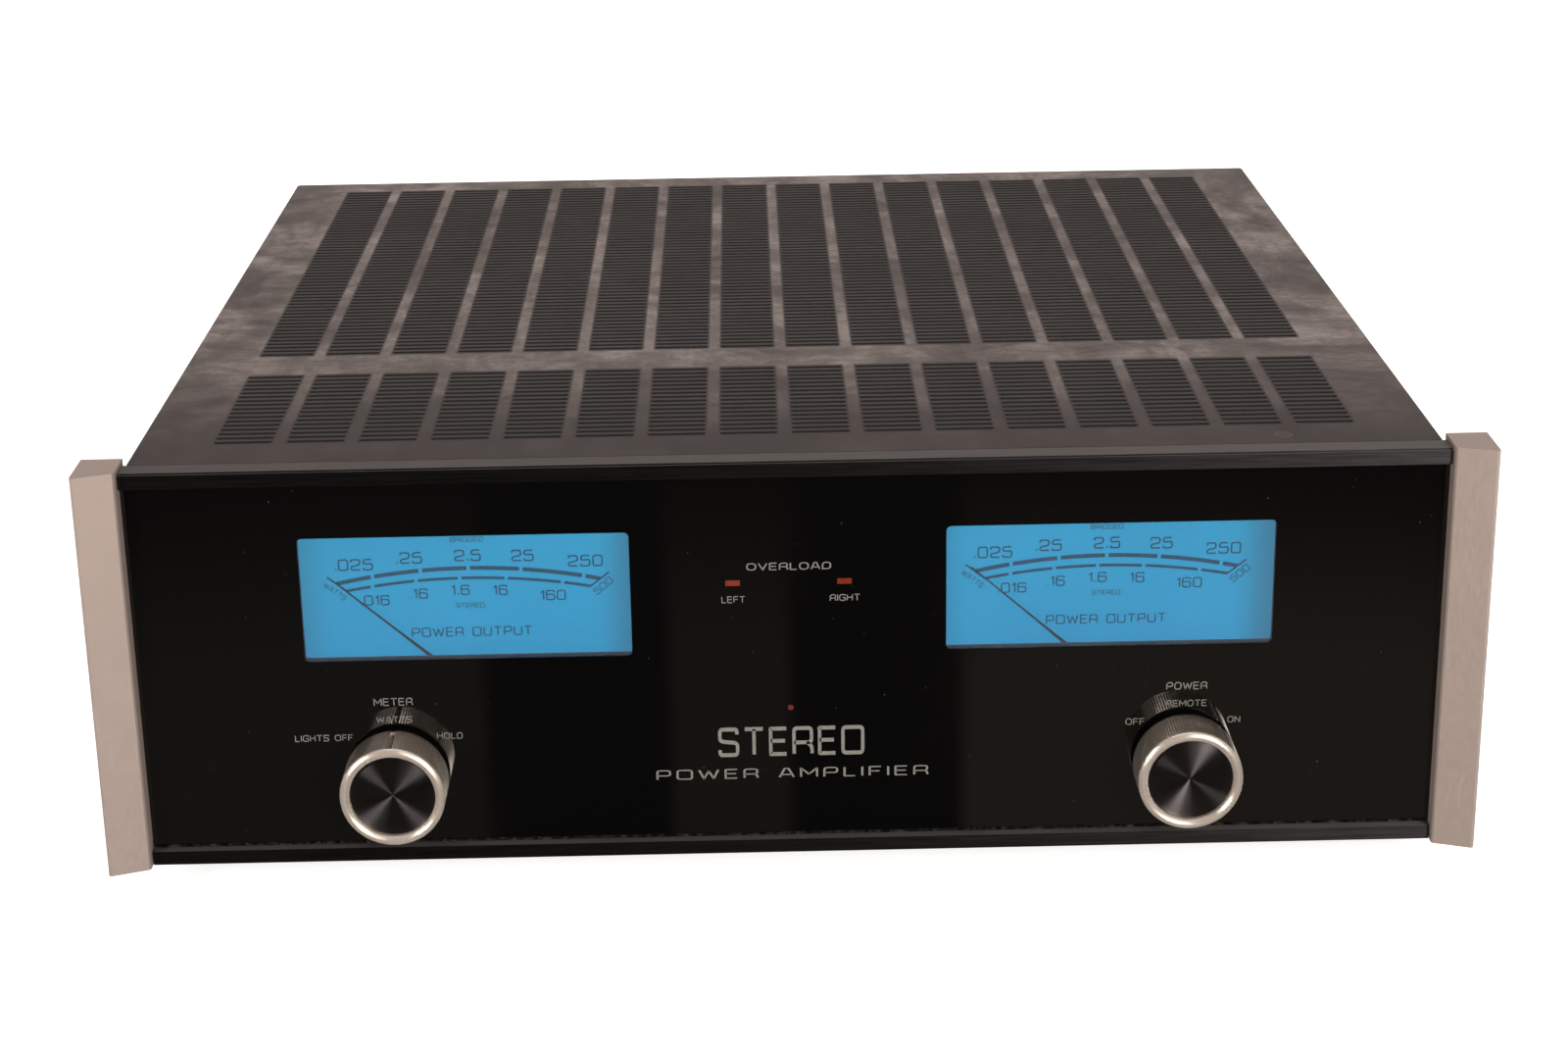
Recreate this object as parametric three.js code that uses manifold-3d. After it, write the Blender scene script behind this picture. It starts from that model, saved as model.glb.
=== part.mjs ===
// A two-channel power amplifier: glass front with two needle meters and two selectors,
// aluminium end caps, a vented cover over the chassis, and connectors at the back.
// Millimetres, +Z up. Pieces are laid out from the front face of the trim rails (y = 0,
// depth along +Y) and the bottom of the end caps (z = 0); one group moves them all so
// that the origin is under the middle of the whole, on the surface the feet stand on.
import * as THREE from "three";
import Module from "manifold-3d";
import { mergeVertices } from "three/addons/utils/BufferGeometryUtils.js";

const wasm = await Module();
wasm.setup();

// Overall sizes.
const PANEL_WIDTH = 444.5;
const PANEL_HEIGHT = 136.2;
const FOOT_DROP = 11;
const FRONT_REACH = -15.6;
const BACK_REACH = 421.3;
const GAP = 0.3;

// Front panel.
const CAP_WIDTH = 13.1;
const CAP_FRONT_OUTER = -7.8;
const CAP_FRONT_INNER = -3;
const CAP_BACK = 11.8;
const CAP_CORNER = 1.2;
const CAP_INNER_X = PANEL_WIDTH / 2 - CAP_WIDTH;
const FRONT_HALF = CAP_INNER_X - GAP;
const RAIL_TOP = 134.8;
const RAIL_HEIGHT = 5.2;
const RAIL_BOTTOM = 0.2;
const BOTTOM_RAIL_HEIGHT = 4.65;
const GLASS_FRONT = 3;
const GLASS_BACK = 6;
const GLASS_LOW = RAIL_BOTTOM + BOTTOM_RAIL_HEIGHT + GAP;
const GLASS_HIGH = RAIL_TOP - RAIL_HEIGHT - GAP;
const SUBPANEL_FRONT = 6.4;
const SUBPANEL_BACK = 7.9;

// Meters.
const METER_X = 102.7;
const WINDOW_WIDTH = 105;
const WINDOW_LOW = 69.3;
const WINDOW_HIGH = 111.3;
const HOUSING_HALF = 58;
const HOUSING_LOW = 48;
const HOUSING_HIGH = 118.7;
const HOUSING_FRONT = 8.2;
const HOUSING_BACK = 30;
const HOUSING_WALL = 1.5;
const HOUSING_MARGIN = 1.1;
const SCALE_FRONT = 15;
const SCALE_THICK = 1.5;
const SCALE_LOW = 64.6;
const PIVOT_Z = 55.5;
const NEEDLE_LENGTH = 58.1;
const NEEDLE_REST_DEG = -48.6;
const HUB_FRONT = 11.4;
const HUB_BACK = 13.4;

// Selectors.
const KNOB_X = 127.7;
const KNOB_Z = 29.5;
const KNOB_RADIUS = 16.9;
const KNOB_BACK = 0.4;
const KNURL_FLUTES = 40;
const KNURL_DEPTH = 0.6;
const SHAFT_RADIUS = 3;
const SHAFT_HOLE = 5;
const POWER_POINTER_DEG = 45;

// Chassis and cover.
const COVER_HALF = 208.4;
const COVER_FRONT = 9.3;
const COVER_BACK = 398;
const COVER_SHEET = 1.2;
const CHASSIS_LOW = 1;
const TRAY_SHEET = 1.5;
const TRAY_HALF = 205.9;
const TRAY_FRONT = 8.4;
const TRAY_BACK = 394.6;
const TRAY_LIP = 18;
const REAR_FRONT = 395;
const REAR_BACK = 396.6;
const OUTSIDE = REAR_BACK + GAP;

// Cover vents: slots in 16 columns, in a short front group and a long rear group. The slots are
// at their real size, and only one row in `step` is cut here, to keep the solid light.
const VENT_COLUMNS = 16;
const VENT_PITCH_X = 23.23;
const VENT_PITCH_Y = 4.53;
const VENT_LENGTH = 18.3;
const VENT_WIDTH = 2.2;
const VENT_GROUPS = [
  { first: 30.5, rows: 17, step: 4 },
  { first: 130.9, rows: 56, step: 5 },
];

// Connectors on the rear panel.
const POST_X = [-110, -85, 85, 110];
const POST_Z = 75;
const POST_NAMES = ["left_negative", "left_positive", "right_positive", "right_negative"];
const JACK_X = 30;
const XLR_Z = 92;
const RCA_Z = 52;
const INLET_X = 165;
const INLET_Z = 45;
const MODE_Z = 70;

// Inside.
const HEATSINK_X = 158;
const HEATSINK_Y = [110, 335];
const FIN_COUNT = 16;
const TRANSISTOR_COUNT = 6;

const degrees = THREE.MathUtils.degToRad;

// ---------------------------------------------------------------- solids

// A closed position-only geometry as a manifold solid with its faces pointing out.
function solid(geometry) {
  const bare = geometry.clone();
  bare.deleteAttribute("normal");
  bare.deleteAttribute("uv");
  const merged = mergeVertices(bare, 1e-4);
  const points = merged.attributes.position.array;
  const triangles = [];
  for (let i = 0; i < merged.index.count; i += 3) {
    const corners = [0, 1, 2].map((k) => merged.index.getX(i + k));
    if (new Set(corners).size === 3) triangles.push(...corners);
  }
  if (signedVolume(points, triangles) < 0) triangles.reverse();
  const mesh = new wasm.Mesh({
    numProp: 3,
    vertProperties: new Float32Array(points),
    triVerts: new Uint32Array(triangles),
  });
  return new wasm.Manifold(mesh);
}

function signedVolume(points, triangles) {
  const corner = (k) => new THREE.Vector3().fromArray(points, 3 * triangles[k]);
  let total = 0;
  for (let i = 0; i < triangles.length; i += 3) {
    total += corner(i).dot(corner(i + 1).cross(corner(i + 2)));
  }
  return total / 6;
}

function geometryOf(body) {
  const mesh = body.getMesh();
  const geometry = new THREE.BufferGeometry();
  geometry.setAttribute("position", new THREE.BufferAttribute(mesh.vertProperties, 3));
  geometry.setIndex(new THREE.BufferAttribute(mesh.triVerts, 1));
  return geometry;
}

function box([x0, x1], [y0, y1], [z0, z1]) {
  const geometry = new THREE.BoxGeometry(x1 - x0, y1 - y0, z1 - z0);
  geometry.translate((x0 + x1) / 2, (y0 + y1) / 2, (z0 + z1) / 2);
  return solid(geometry);
}

// A turned body about the Y axis through (x, z), from [radius, y] pairs.
function turned(profile, segments = 24, x = 0, z = 0) {
  const points = profile.map(([r, y]) => new THREE.Vector2(r, y));
  const geometry = new THREE.LatheGeometry(points, segments);
  geometry.translate(x, 0, z);
  return solid(geometry);
}

// A turned ring whose [radius, y] profile closes on itself, off the axis.
function turnedRing(profile, segments = 24) {
  return turned([...profile, profile[0]], segments);
}

// A turned body about the vertical axis through the origin, from [radius, z] pairs.
function turnedUpright(profile, segments = 24) {
  const points = profile.map(([r, z]) => new THREE.Vector2(r, z));
  const geometry = new THREE.LatheGeometry(points, segments);
  geometry.rotateX(Math.PI / 2);
  return solid(geometry);
}

function disc(radius, [y0, y1], segments = 24, x = 0, z = 0) {
  return turned([[0, y0], [radius, y0], [radius, y1], [0, y1]], segments, x, z);
}

// An outline in plan, [x, y] pairs, raised from z0 to z1.
function raised(outline, [z0, z1]) {
  const shape = new THREE.Shape(outline.map(([x, y]) => new THREE.Vector2(x, y)));
  const geometry = new THREE.ExtrudeGeometry(shape, { depth: z1 - z0, bevelEnabled: false });
  geometry.translate(0, 0, z0);
  return solid(geometry);
}

// An outline seen from the front, [x, z] pairs, extended in depth from y0 to y1.
function deepened(outline, [y0, y1]) {
  const shape = new THREE.Shape(outline.map(([x, z]) => new THREE.Vector2(x, z)));
  const geometry = new THREE.ExtrudeGeometry(shape, { depth: y1 - y0, bevelEnabled: false });
  geometry.rotateX(Math.PI / 2);
  geometry.translate(0, y1, 0);
  return solid(geometry);
}

const joined = (bodies) => bodies.reduce((a, b) => a.add(b));
const without = (body, cutters) => cutters.reduce((a, b) => a.subtract(b), body);

// ---------------------------------------------------------------- materials and scene

function material(color, roughness, metalness) {
  return new THREE.MeshStandardMaterial({ color, roughness, metalness });
}

const BLACK_GLASS = material(0x08080a, 0.08, 0);
const BLACK_STEEL = material(0x17171a, 0.5, 0.5);
const BLACK_ANODISED = material(0x141416, 0.35, 0.7);
const CAP_ALUMINIUM = material(0xb8a79a, 0.38, 0.9);
const COVER_PAINT = material(0x4d4644, 0.62, 0.1);
const METER_PLASTIC = material(0xd8dde2, 0.5, 0);
const SCALE_BLUE = material(0x3ea3d8, 0.5, 0);
const NEEDLE_DARK = material(0x1b2230, 0.5, 0);
const KNOB_ALUMINIUM = material(0xc9c5c0, 0.25, 0.95);
const KNOB_BLACK = material(0x0d0d0f, 0.3, 0.5);
const STEEL = material(0x9a9a9c, 0.35, 0.9);
const BLACK_PLASTIC = material(0x151517, 0.5, 0);
const LED_RED = material(0x8c2416, 0.3, 0);
const BOARD_GREEN = material(0x1f4a2c, 0.5, 0);
const ZINC_STEEL = material(0x8f9090, 0.4, 0.8);
const RUBBER = material(0x111111, 0.9, 0);
const HEATSINK_ALUMINIUM = material(0x232325, 0.5, 0.6);
const CAN_BLACK = material(0x202228, 0.5, 0.2);
const CAPACITOR_BLUE = material(0x1d2c50, 0.4, 0);
const GOLD_BRASS = material(0xc89b4a, 0.25, 0.95);
const POST_RED = material(0x8e1414, 0.35, 0);

const unit = new THREE.Group();
unit.position.set(0, -(FRONT_REACH + BACK_REACH) / 2, FOOT_DROP);

function place(name, body, look, position = [0, 0, 0], turnY = 0) {
  const mesh = new THREE.Mesh(geometryOf(body), look);
  mesh.name = name;
  mesh.position.set(...position);
  mesh.rotation.y = turnY;
  unit.add(mesh);
}

// ---------------------------------------------------------------- front panel

const glassHole = (x) => disc(SHAFT_HOLE, [GLASS_FRONT - 1, SUBPANEL_BACK + 1], 20, x, KNOB_Z);

function frontGlass() {
  const sheet = box([-FRONT_HALF, FRONT_HALF], [GLASS_FRONT, GLASS_BACK], [GLASS_LOW, GLASS_HIGH]);
  return without(sheet, [glassHole(-KNOB_X), glassHole(KNOB_X)]);
}

const LED_X = 17.8;
const LED_Z = 93.6;
const LED_HALF = [2.35, 1.1];
const SENSOR_Z = 50.3;

function subpanelWindow(x) {
  const half = WINDOW_WIDTH / 2 + GAP;
  const z = [WINDOW_LOW - GAP, WINDOW_HIGH + GAP];
  return box([x - half, x + half], [SUBPANEL_FRONT - 1, SUBPANEL_BACK + 1], z);
}

function subpanelLedSlot(x) {
  const [halfX, halfZ] = LED_HALF.map((half) => half + GAP);
  const depth = [SUBPANEL_FRONT - 1, SUBPANEL_BACK + 1];
  return box([x - halfX, x + halfX], depth, [LED_Z - halfZ, LED_Z + halfZ]);
}

function frontSubpanel() {
  const depth = [SUBPANEL_FRONT, SUBPANEL_BACK];
  const sheet = box([-FRONT_HALF, FRONT_HALF], depth, [GLASS_LOW, GLASS_HIGH]);
  const sides = [-1, 1];
  return without(sheet, [
    ...sides.map((side) => subpanelWindow(side * METER_X)),
    ...sides.map((side) => glassHole(side * KNOB_X)),
    ...sides.map((side) => subpanelLedSlot(side * LED_X)),
    disc(2.5, [SUBPANEL_FRONT - 1, SUBPANEL_BACK + 1], 12, 0, SENSOR_Z),
  ]);
}

// The cap's plan: its front slopes back towards the glass, with small round corners.
function endCapOutline(side) {
  const outer = PANEL_WIDTH / 2;
  const slope = (CAP_FRONT_INNER - CAP_FRONT_OUTER) / CAP_WIDTH;
  const c = CAP_CORNER;
  const outline = [
    [CAP_INNER_X, CAP_BACK],
    [CAP_INNER_X, CAP_FRONT_INNER + 0.5],
    [CAP_INNER_X + 0.5, CAP_FRONT_INNER - 0.5 * slope],
    [outer - c, CAP_FRONT_OUTER + c * slope],
    [outer - 0.35 * c, CAP_FRONT_OUTER + 0.45 * c],
    [outer, CAP_FRONT_OUTER + 1.4 * c],
    [outer, CAP_BACK],
  ];
  return outline.map(([x, y]) => [side * x, y]);
}

function buildFront() {
  place("front_glass", frontGlass(), BLACK_GLASS);
  place("front_subpanel", frontSubpanel(), BLACK_STEEL);
  const railX = [-FRONT_HALF, FRONT_HALF];
  const topRail = box(railX, [0, COVER_FRONT - GAP], [RAIL_TOP - RAIL_HEIGHT, RAIL_TOP]);
  place("top_trim_rail", topRail, BLACK_ANODISED);
  const bottomZ = [RAIL_BOTTOM, RAIL_BOTTOM + BOTTOM_RAIL_HEIGHT];
  place("bottom_trim_rail", box(railX, [0, TRAY_FRONT - GAP], bottomZ), BLACK_ANODISED);
  place("end_cap_left", raised(endCapOutline(-1), [0, PANEL_HEIGHT]), CAP_ALUMINIUM);
  place("end_cap_right", raised(endCapOutline(1), [0, PANEL_HEIGHT]), CAP_ALUMINIUM);
}

// ---------------------------------------------------------------- meters

function meterHousing() {
  const half = HOUSING_HALF;
  const wall = HOUSING_WALL;
  const shell = box([-half, half], [HOUSING_FRONT, HOUSING_BACK], [HOUSING_LOW, HOUSING_HIGH]);
  const hollow = box(
    [wall - half, half - wall],
    [HOUSING_FRONT + wall, HOUSING_BACK - wall],
    [HOUSING_LOW + wall, HOUSING_HIGH - wall],
  );
  const halfWindow = WINDOW_WIDTH / 2 + HOUSING_MARGIN;
  const depth = [HOUSING_FRONT - 1, HOUSING_FRONT + wall + 1];
  const height = [WINDOW_LOW - HOUSING_MARGIN, WINDOW_HIGH + HOUSING_MARGIN];
  const opening = box([-halfWindow, halfWindow], depth, height);
  return without(shell, [hollow, opening]);
}

function meterScale() {
  const half = HOUSING_HALF - HOUSING_WALL - GAP;
  const z = [SCALE_LOW, HOUSING_HIGH - HOUSING_WALL - GAP];
  return box([-half, half], [SCALE_FRONT, SCALE_FRONT + SCALE_THICK], z);
}

// The needle points straight up here, with its hub's axis through the origin.
function meterNeedle() {
  const middle = (HUB_FRONT + HUB_BACK) / 2;
  const blade = deepened(
    [[-0.45, 0], [0.45, 0], [0.2, NEEDLE_LENGTH], [-0.2, NEEDLE_LENGTH]],
    [middle - 0.2, middle + 0.2],
  );
  const tail = box([-1.1, 1.1], [middle - 0.5, middle + 0.5], [-6, 0]);
  const hub = disc(2, [HUB_FRONT, HUB_BACK], 16);
  return without(joined([hub, blade, tail]), [disc(0.8, [HUB_FRONT - 1, HUB_BACK + 1], 10)]);
}

function meterMovement() {
  const body = disc(6, [HUB_BACK + 0.4, HOUSING_BACK - HOUSING_WALL - GAP], 20);
  return body.add(disc(0.5, [HUB_FRONT - 0.5, HUB_BACK + 0.8], 10));
}

function buildMeter(side, name) {
  const x = side * METER_X;
  place(`meter_${name}_housing`, meterHousing(), METER_PLASTIC, [x, 0, 0]);
  place(`meter_${name}_scale`, meterScale(), SCALE_BLUE, [x, 0, 0]);
  place(`meter_${name}_movement`, meterMovement(), BLACK_PLASTIC, [x, 0, PIVOT_Z]);
  const turn = degrees(NEEDLE_REST_DEG);
  place(`meter_${name}_needle`, meterNeedle(), NEEDLE_DARK, [x, 0, PIVOT_Z], turn);
}

// ---------------------------------------------------------------- selectors

const KNURL_FRONT = FRONT_REACH + 1.7;
const KNURL_BACK = KNOB_BACK - 0.6;
const RECESS_RADIUS = 13.8;
const RECESS_FLOOR = FRONT_REACH + 3.4;
const SHAFT_END = RECESS_FLOOR + 3.2;

function fluted(radius, depth, flutes, range) {
  const outline = [];
  for (let i = 0; i < 2 * flutes; i += 1) {
    const angle = (Math.PI * i) / flutes;
    const r = i % 2 === 0 ? radius : radius - depth;
    outline.push([r * Math.sin(angle), r * Math.cos(angle)]);
  }
  return deepened(outline, range);
}

// The pointer is a groove along the top of the knurled band.
function selectorKnob() {
  const smooth = turned([
    [0, FRONT_REACH],
    [KNOB_RADIUS - 1.2, FRONT_REACH],
    [KNOB_RADIUS - 0.4, KNURL_FRONT],
    [KNOB_RADIUS - 1.6, KNURL_FRONT + 1],
    [KNOB_RADIUS - 1.6, KNURL_BACK - 1],
    [KNOB_RADIUS - 2.4, KNURL_BACK],
    [KNOB_RADIUS - 2.4, KNOB_BACK],
    [0, KNOB_BACK],
  ], 40);
  const band = fluted(KNOB_RADIUS, KNURL_DEPTH, KNURL_FLUTES, [KNURL_FRONT, KNURL_BACK]);
  const recess = disc(RECESS_RADIUS, [FRONT_REACH - 1, RECESS_FLOOR], 40);
  const bore = disc(SHAFT_RADIUS + GAP, [SHAFT_END - 0.5, KNOB_BACK + 1], 16);
  const groove = box([-0.7, 0.7], [KNURL_FRONT, KNURL_BACK], [KNOB_RADIUS - 1.4, KNOB_RADIUS + 1]);
  return without(smooth.add(band), [recess, bore, groove]);
}

function knobInsert() {
  const radius = RECESS_RADIUS - GAP;
  const front = RECESS_FLOOR - 1.4;
  return turned([
    [0, front + 0.7],
    [radius - 0.4, front],
    [radius, front + 0.3],
    [radius, RECESS_FLOOR - GAP],
    [0, RECESS_FLOOR - GAP],
  ], 40);
}

const SWITCH_FRONT = SUBPANEL_BACK + GAP;

function switchBody() {
  const bush = disc(SHAFT_HOLE - 0.4, [GLASS_FRONT + 0.5, SWITCH_FRONT + 1], 20);
  const body = disc(11, [SWITCH_FRONT, SWITCH_FRONT + 14], 20);
  const bore = disc(SHAFT_RADIUS + GAP, [GLASS_FRONT, SWITCH_FRONT + 6.4], 16);
  return without(body.add(bush), [bore]);
}

function buildSelector(side, name, pointerDeg) {
  const at = [side * KNOB_X, 0, KNOB_Z];
  const turn = degrees(pointerDeg);
  place(`${name}_selector_knob`, selectorKnob(), KNOB_ALUMINIUM, at, turn);
  place(`${name}_selector_insert`, knobInsert(), KNOB_BLACK, at, turn);
  place(`${name}_selector_shaft`, disc(SHAFT_RADIUS, [SHAFT_END, SWITCH_FRONT + 6], 16), STEEL, at, turn);
  place(`${name}_selector_switch`, switchBody(), BLACK_PLASTIC, at);
}

// ---------------------------------------------------------------- indicators

const BOARD_THICK = 1.6;
const CONTROL_BOARD_FRONT = 12;

function buildIndicators() {
  const [halfX, halfZ] = LED_HALF;
  const depth = [SUBPANEL_FRONT, CONTROL_BOARD_FRONT - GAP];
  const lens = box([-halfX, halfX], depth, [-halfZ, halfZ]);
  place("overload_led_left", lens, LED_RED, [-LED_X, 0, LED_Z]);
  place("overload_led_right", lens, LED_RED, [LED_X, 0, LED_Z]);
  const back = CONTROL_BOARD_FRONT + BOARD_THICK;
  const board = joined([
    box([-43, 43], [CONTROL_BOARD_FRONT, back], [24, 106]),
    disc(2.2, [SUBPANEL_FRONT, CONTROL_BOARD_FRONT + 0.5], 12, 0, SENSOR_Z),
    box([-30, -10], [back - 0.5, back + 8], [30, 38]),
    box([8, 36], [back - 0.5, back + 6], [60, 72]),
  ]);
  place("control_board", board, BOARD_GREEN);
}

// ---------------------------------------------------------------- chassis and cover

function trayVent(x, y) {
  return box([x - 14, x + 14], [y - 2, y + 2], [CHASSIS_LOW - 1, CHASSIS_LOW + TRAY_SHEET + 1]);
}

function chassisTray() {
  const low = CHASSIS_LOW;
  const sheet = TRAY_SHEET;
  const y = [TRAY_FRONT, TRAY_BACK];
  const z = [low, TRAY_LIP];
  const tray = joined([
    box([-TRAY_HALF, TRAY_HALF], y, [low, low + sheet]),
    box([-TRAY_HALF, sheet - TRAY_HALF], y, z),
    box([TRAY_HALF - sheet, TRAY_HALF], y, z),
    box([-TRAY_HALF, TRAY_HALF], [TRAY_FRONT, TRAY_FRONT + sheet], z),
  ]);
  const vents = [];
  for (const side of [-1, 1]) {
    for (let row = 0; row < 9; row += 1) vents.push(trayVent(side * 183, 130 + 23 * row));
  }
  return without(tray, vents);
}

function coverVents() {
  const through = [RAIL_TOP - COVER_SHEET - 1, RAIL_TOP + 1];
  const vents = [];
  for (let column = 0; column < VENT_COLUMNS; column += 1) {
    const x = (column - (VENT_COLUMNS - 1) / 2) * VENT_PITCH_X;
    for (const { first, rows, step } of VENT_GROUPS) {
      for (let row = 0; row < rows; row += step) {
        const y = first + row * VENT_PITCH_Y;
        const across = [x - VENT_LENGTH / 2, x + VENT_LENGTH / 2];
        vents.push(box(across, [y - VENT_WIDTH / 2, y + VENT_WIDTH / 2], through));
      }
    }
  }
  return vents;
}

function topCover() {
  const z = [CHASSIS_LOW, RAIL_TOP];
  const y = [COVER_FRONT, COVER_BACK];
  const inner = COVER_HALF - COVER_SHEET;
  const block = box([-COVER_HALF, COVER_HALF], y, z);
  const hollow = box([-inner, inner], [y[0] - 1, y[1] + 1], [z[0] - 1, z[1] - COVER_SHEET]);
  return without(block, [hollow, ...coverVents()]);
}

const FOOT_PLACES = [
  ["front_left", -170, 48],
  ["front_right", 170, 48],
  ["rear_left", -170, 358],
  ["rear_right", 170, 358],
];

function foot() {
  return turnedUpright([
    [0, 4 - FOOT_DROP],
    [5, 4 - FOOT_DROP],
    [5, -FOOT_DROP],
    [14.5, -FOOT_DROP],
    [16, 1 - FOOT_DROP],
    [17, CHASSIS_LOW - GAP],
    [0, CHASSIS_LOW - GAP],
  ]);
}

function buildChassis() {
  place("chassis_tray", chassisTray(), ZINC_STEEL);
  place("top_cover", topCover(), COVER_PAINT);
  for (const [name, x, y] of FOOT_PLACES) place(`foot_${name}`, foot(), RUBBER, [x, y, 0]);
}

// ---------------------------------------------------------------- inside

function powerTransformer() {
  const base = CHASSIS_LOW + TRAY_SHEET + GAP;
  return turnedUpright([
    [0, base],
    [76, base],
    [78, base + 2],
    [78, base + 82],
    [70, base + 90],
    [18, base + 90],
    [14, base + 86],
    [0, base + 86],
  ], 36);
}

// The heatsink seen in plan: a base plate with fins that point outwards.
function heatsink(side) {
  const [front, back] = HEATSINK_Y;
  const root = HEATSINK_X + 6;
  const tip = TRAY_HALF - TRAY_SHEET - 1.5;
  const pitch = (back - front) / (FIN_COUNT - 0.5);
  const outline = [[HEATSINK_X, back], [HEATSINK_X, front]];
  for (let fin = 0; fin < FIN_COUNT; fin += 1) {
    const y = front + fin * pitch;
    outline.push([tip, y], [tip, y + pitch / 2]);
    if (fin < FIN_COUNT - 1) outline.push([root, y + pitch / 2], [root, y + pitch]);
  }
  return raised(outline.map(([x, y]) => [side * x, y]), [6, 128]);
}

function amplifierBoard(side) {
  const face = HEATSINK_X - GAP;
  const inner = face - 8;
  const across = (a, b) => (side > 0 ? [a, b] : [-b, -a]);
  const pieces = [box(across(inner, inner + BOARD_THICK), [118, 327], [20, 118])];
  for (let i = 0; i < TRANSISTOR_COUNT; i += 1) {
    const y = 140 + 33 * i;
    pieces.push(box(across(inner + 1, face), [y, y + 16], [58, 78]));
  }
  return joined(pieces);
}

function filterCapacitor() {
  const base = CHASSIS_LOW + TRAY_SHEET + GAP;
  return turnedUpright([
    [0, base],
    [32, base],
    [32, base + 104],
    [29, base + 108],
    [26, base + 105],
    [0, base + 105],
  ], 28);
}

function buildInside() {
  place("power_transformer", powerTransformer(), CAN_BLACK, [0, 122, 0]);
  place("heatsink_left", heatsink(-1), HEATSINK_ALUMINIUM);
  place("heatsink_right", heatsink(1), HEATSINK_ALUMINIUM);
  place("amplifier_board_left", amplifierBoard(-1), BOARD_GREEN);
  place("amplifier_board_right", amplifierBoard(1), BOARD_GREEN);
  place("filter_capacitor_left", filterCapacitor(), CAPACITOR_BLUE, [-40, 262, 0]);
  place("filter_capacitor_right", filterCapacitor(), CAPACITOR_BLUE, [40, 262, 0]);
  place("input_board", box([-50, 50], [366, 366 + BOARD_THICK], [34, 114]), BOARD_GREEN);
}

// ---------------------------------------------------------------- rear panel

const INLET_BODY = [13.7, 21.5];
const XLR_BARREL = 11.5;
const RCA_BARREL = 4.5;
const POST_STUD = 4.5;
const MODE_BODY = [10, 4.5];

function panelCut([halfX, halfZ], x, z) {
  const depth = [REAR_FRONT - 1, REAR_BACK + 1];
  const [w, h] = [halfX + GAP, halfZ + GAP];
  return box([x - w, x + w], depth, [z - h, z + h]);
}

function rearPanel() {
  const half = COVER_HALF - COVER_SHEET - GAP;
  const z = [CHASSIS_LOW, RAIL_TOP - COVER_SHEET - GAP];
  const depth = [REAR_FRONT - 1, REAR_BACK + 1];
  const round = (radius, x, height) => disc(radius + GAP, depth, 20, x, height);
  return without(box([-half, half], [REAR_FRONT, REAR_BACK], z), [
    panelCut(INLET_BODY, INLET_X, INLET_Z),
    panelCut(MODE_BODY, 0, MODE_Z),
    ...[-JACK_X, JACK_X].map((x) => round(XLR_BARREL, x, XLR_Z)),
    ...[-JACK_X, JACK_X].map((x) => round(RCA_BARREL, x, RCA_Z)),
    ...POST_X.map((x) => round(POST_STUD, x, POST_Z)),
  ]);
}

const INLET_FLANGE = [16, 24];
const FLANGE_THICK = 2.5;
const SOCKET_Z = [1, 18];
const SOCKET_DEPTH = 16;
const DRAWER_HALF = 11.2;
const DRAWER_Z = [-18.7, -4.3];
const DRAWER_BACK = 377.4;

const symmetric = (half) => [-half, half];

function acInlet() {
  const face = OUTSIDE + FLANGE_THICK;
  const body = joined([
    box(symmetric(INLET_FLANGE[0]), [OUTSIDE, face], symmetric(INLET_FLANGE[1])),
    box(symmetric(INLET_BODY[0]), [372, OUTSIDE + 0.5], symmetric(INLET_BODY[1])),
  ]);
  const floor = face - SOCKET_DEPTH;
  const socket = box([-12, 12], [floor, face + 1], SOCKET_Z);
  const pocket = box(
    symmetric(DRAWER_HALF + GAP),
    [DRAWER_BACK - GAP, face + 1],
    [DRAWER_Z[0] - GAP, DRAWER_Z[1] + GAP],
  );
  const pin = (x, z) => box([x - 1, x + 1], [floor - 1, face - 3], [z - 2, z + 2]);
  return joined([without(body, [socket, pocket]), pin(-7, 7.5), pin(7, 7.5), pin(0, 11.5)]);
}

function fuseDrawer() {
  const face = OUTSIDE + FLANGE_THICK;
  return joined([
    box(symmetric(DRAWER_HALF), [DRAWER_BACK, face + 0.6], DRAWER_Z),
    box([-5, 5], [face, face + 2.2], [-7.5, -5.5]),
  ]);
}

function xlrJack() {
  const face = OUTSIDE + 2;
  const flange = box([-13, 13], [OUTSIDE, face], [-15.5, 15.5]);
  const barrel = disc(XLR_BARREL, [369, OUTSIDE + 0.5], 16);
  const groove = turnedRing([[8, face - 9], [9.6, face - 9], [9.6, face + 1], [8, face + 1]], 16);
  const hole = (angle) => disc(1.5, [face - 9, face + 1], 8, 4 * Math.sin(angle), 4 * Math.cos(angle));
  const third = (2 * Math.PI) / 3;
  const holes = [Math.PI, Math.PI - third, Math.PI + third].map(hole);
  return without(flange.add(barrel), [groove, ...holes]);
}

function rcaJack() {
  return turned([
    [0, 384],
    [RCA_BARREL, 384],
    [RCA_BARREL, OUTSIDE],
    [6.5, OUTSIDE],
    [6.5, OUTSIDE + 2],
    [4.15, OUTSIDE + 2.6],
    [4.15, OUTSIDE + 10.5],
    [1.6, OUTSIDE + 10.5],
    [1.6, OUTSIDE + 2.5],
    [0, OUTSIDE + 2.5],
  ], 20);
}

const SLIDER_POCKET = [5.9, 2.7];
const SLIDER_FLOOR = 388;

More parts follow.
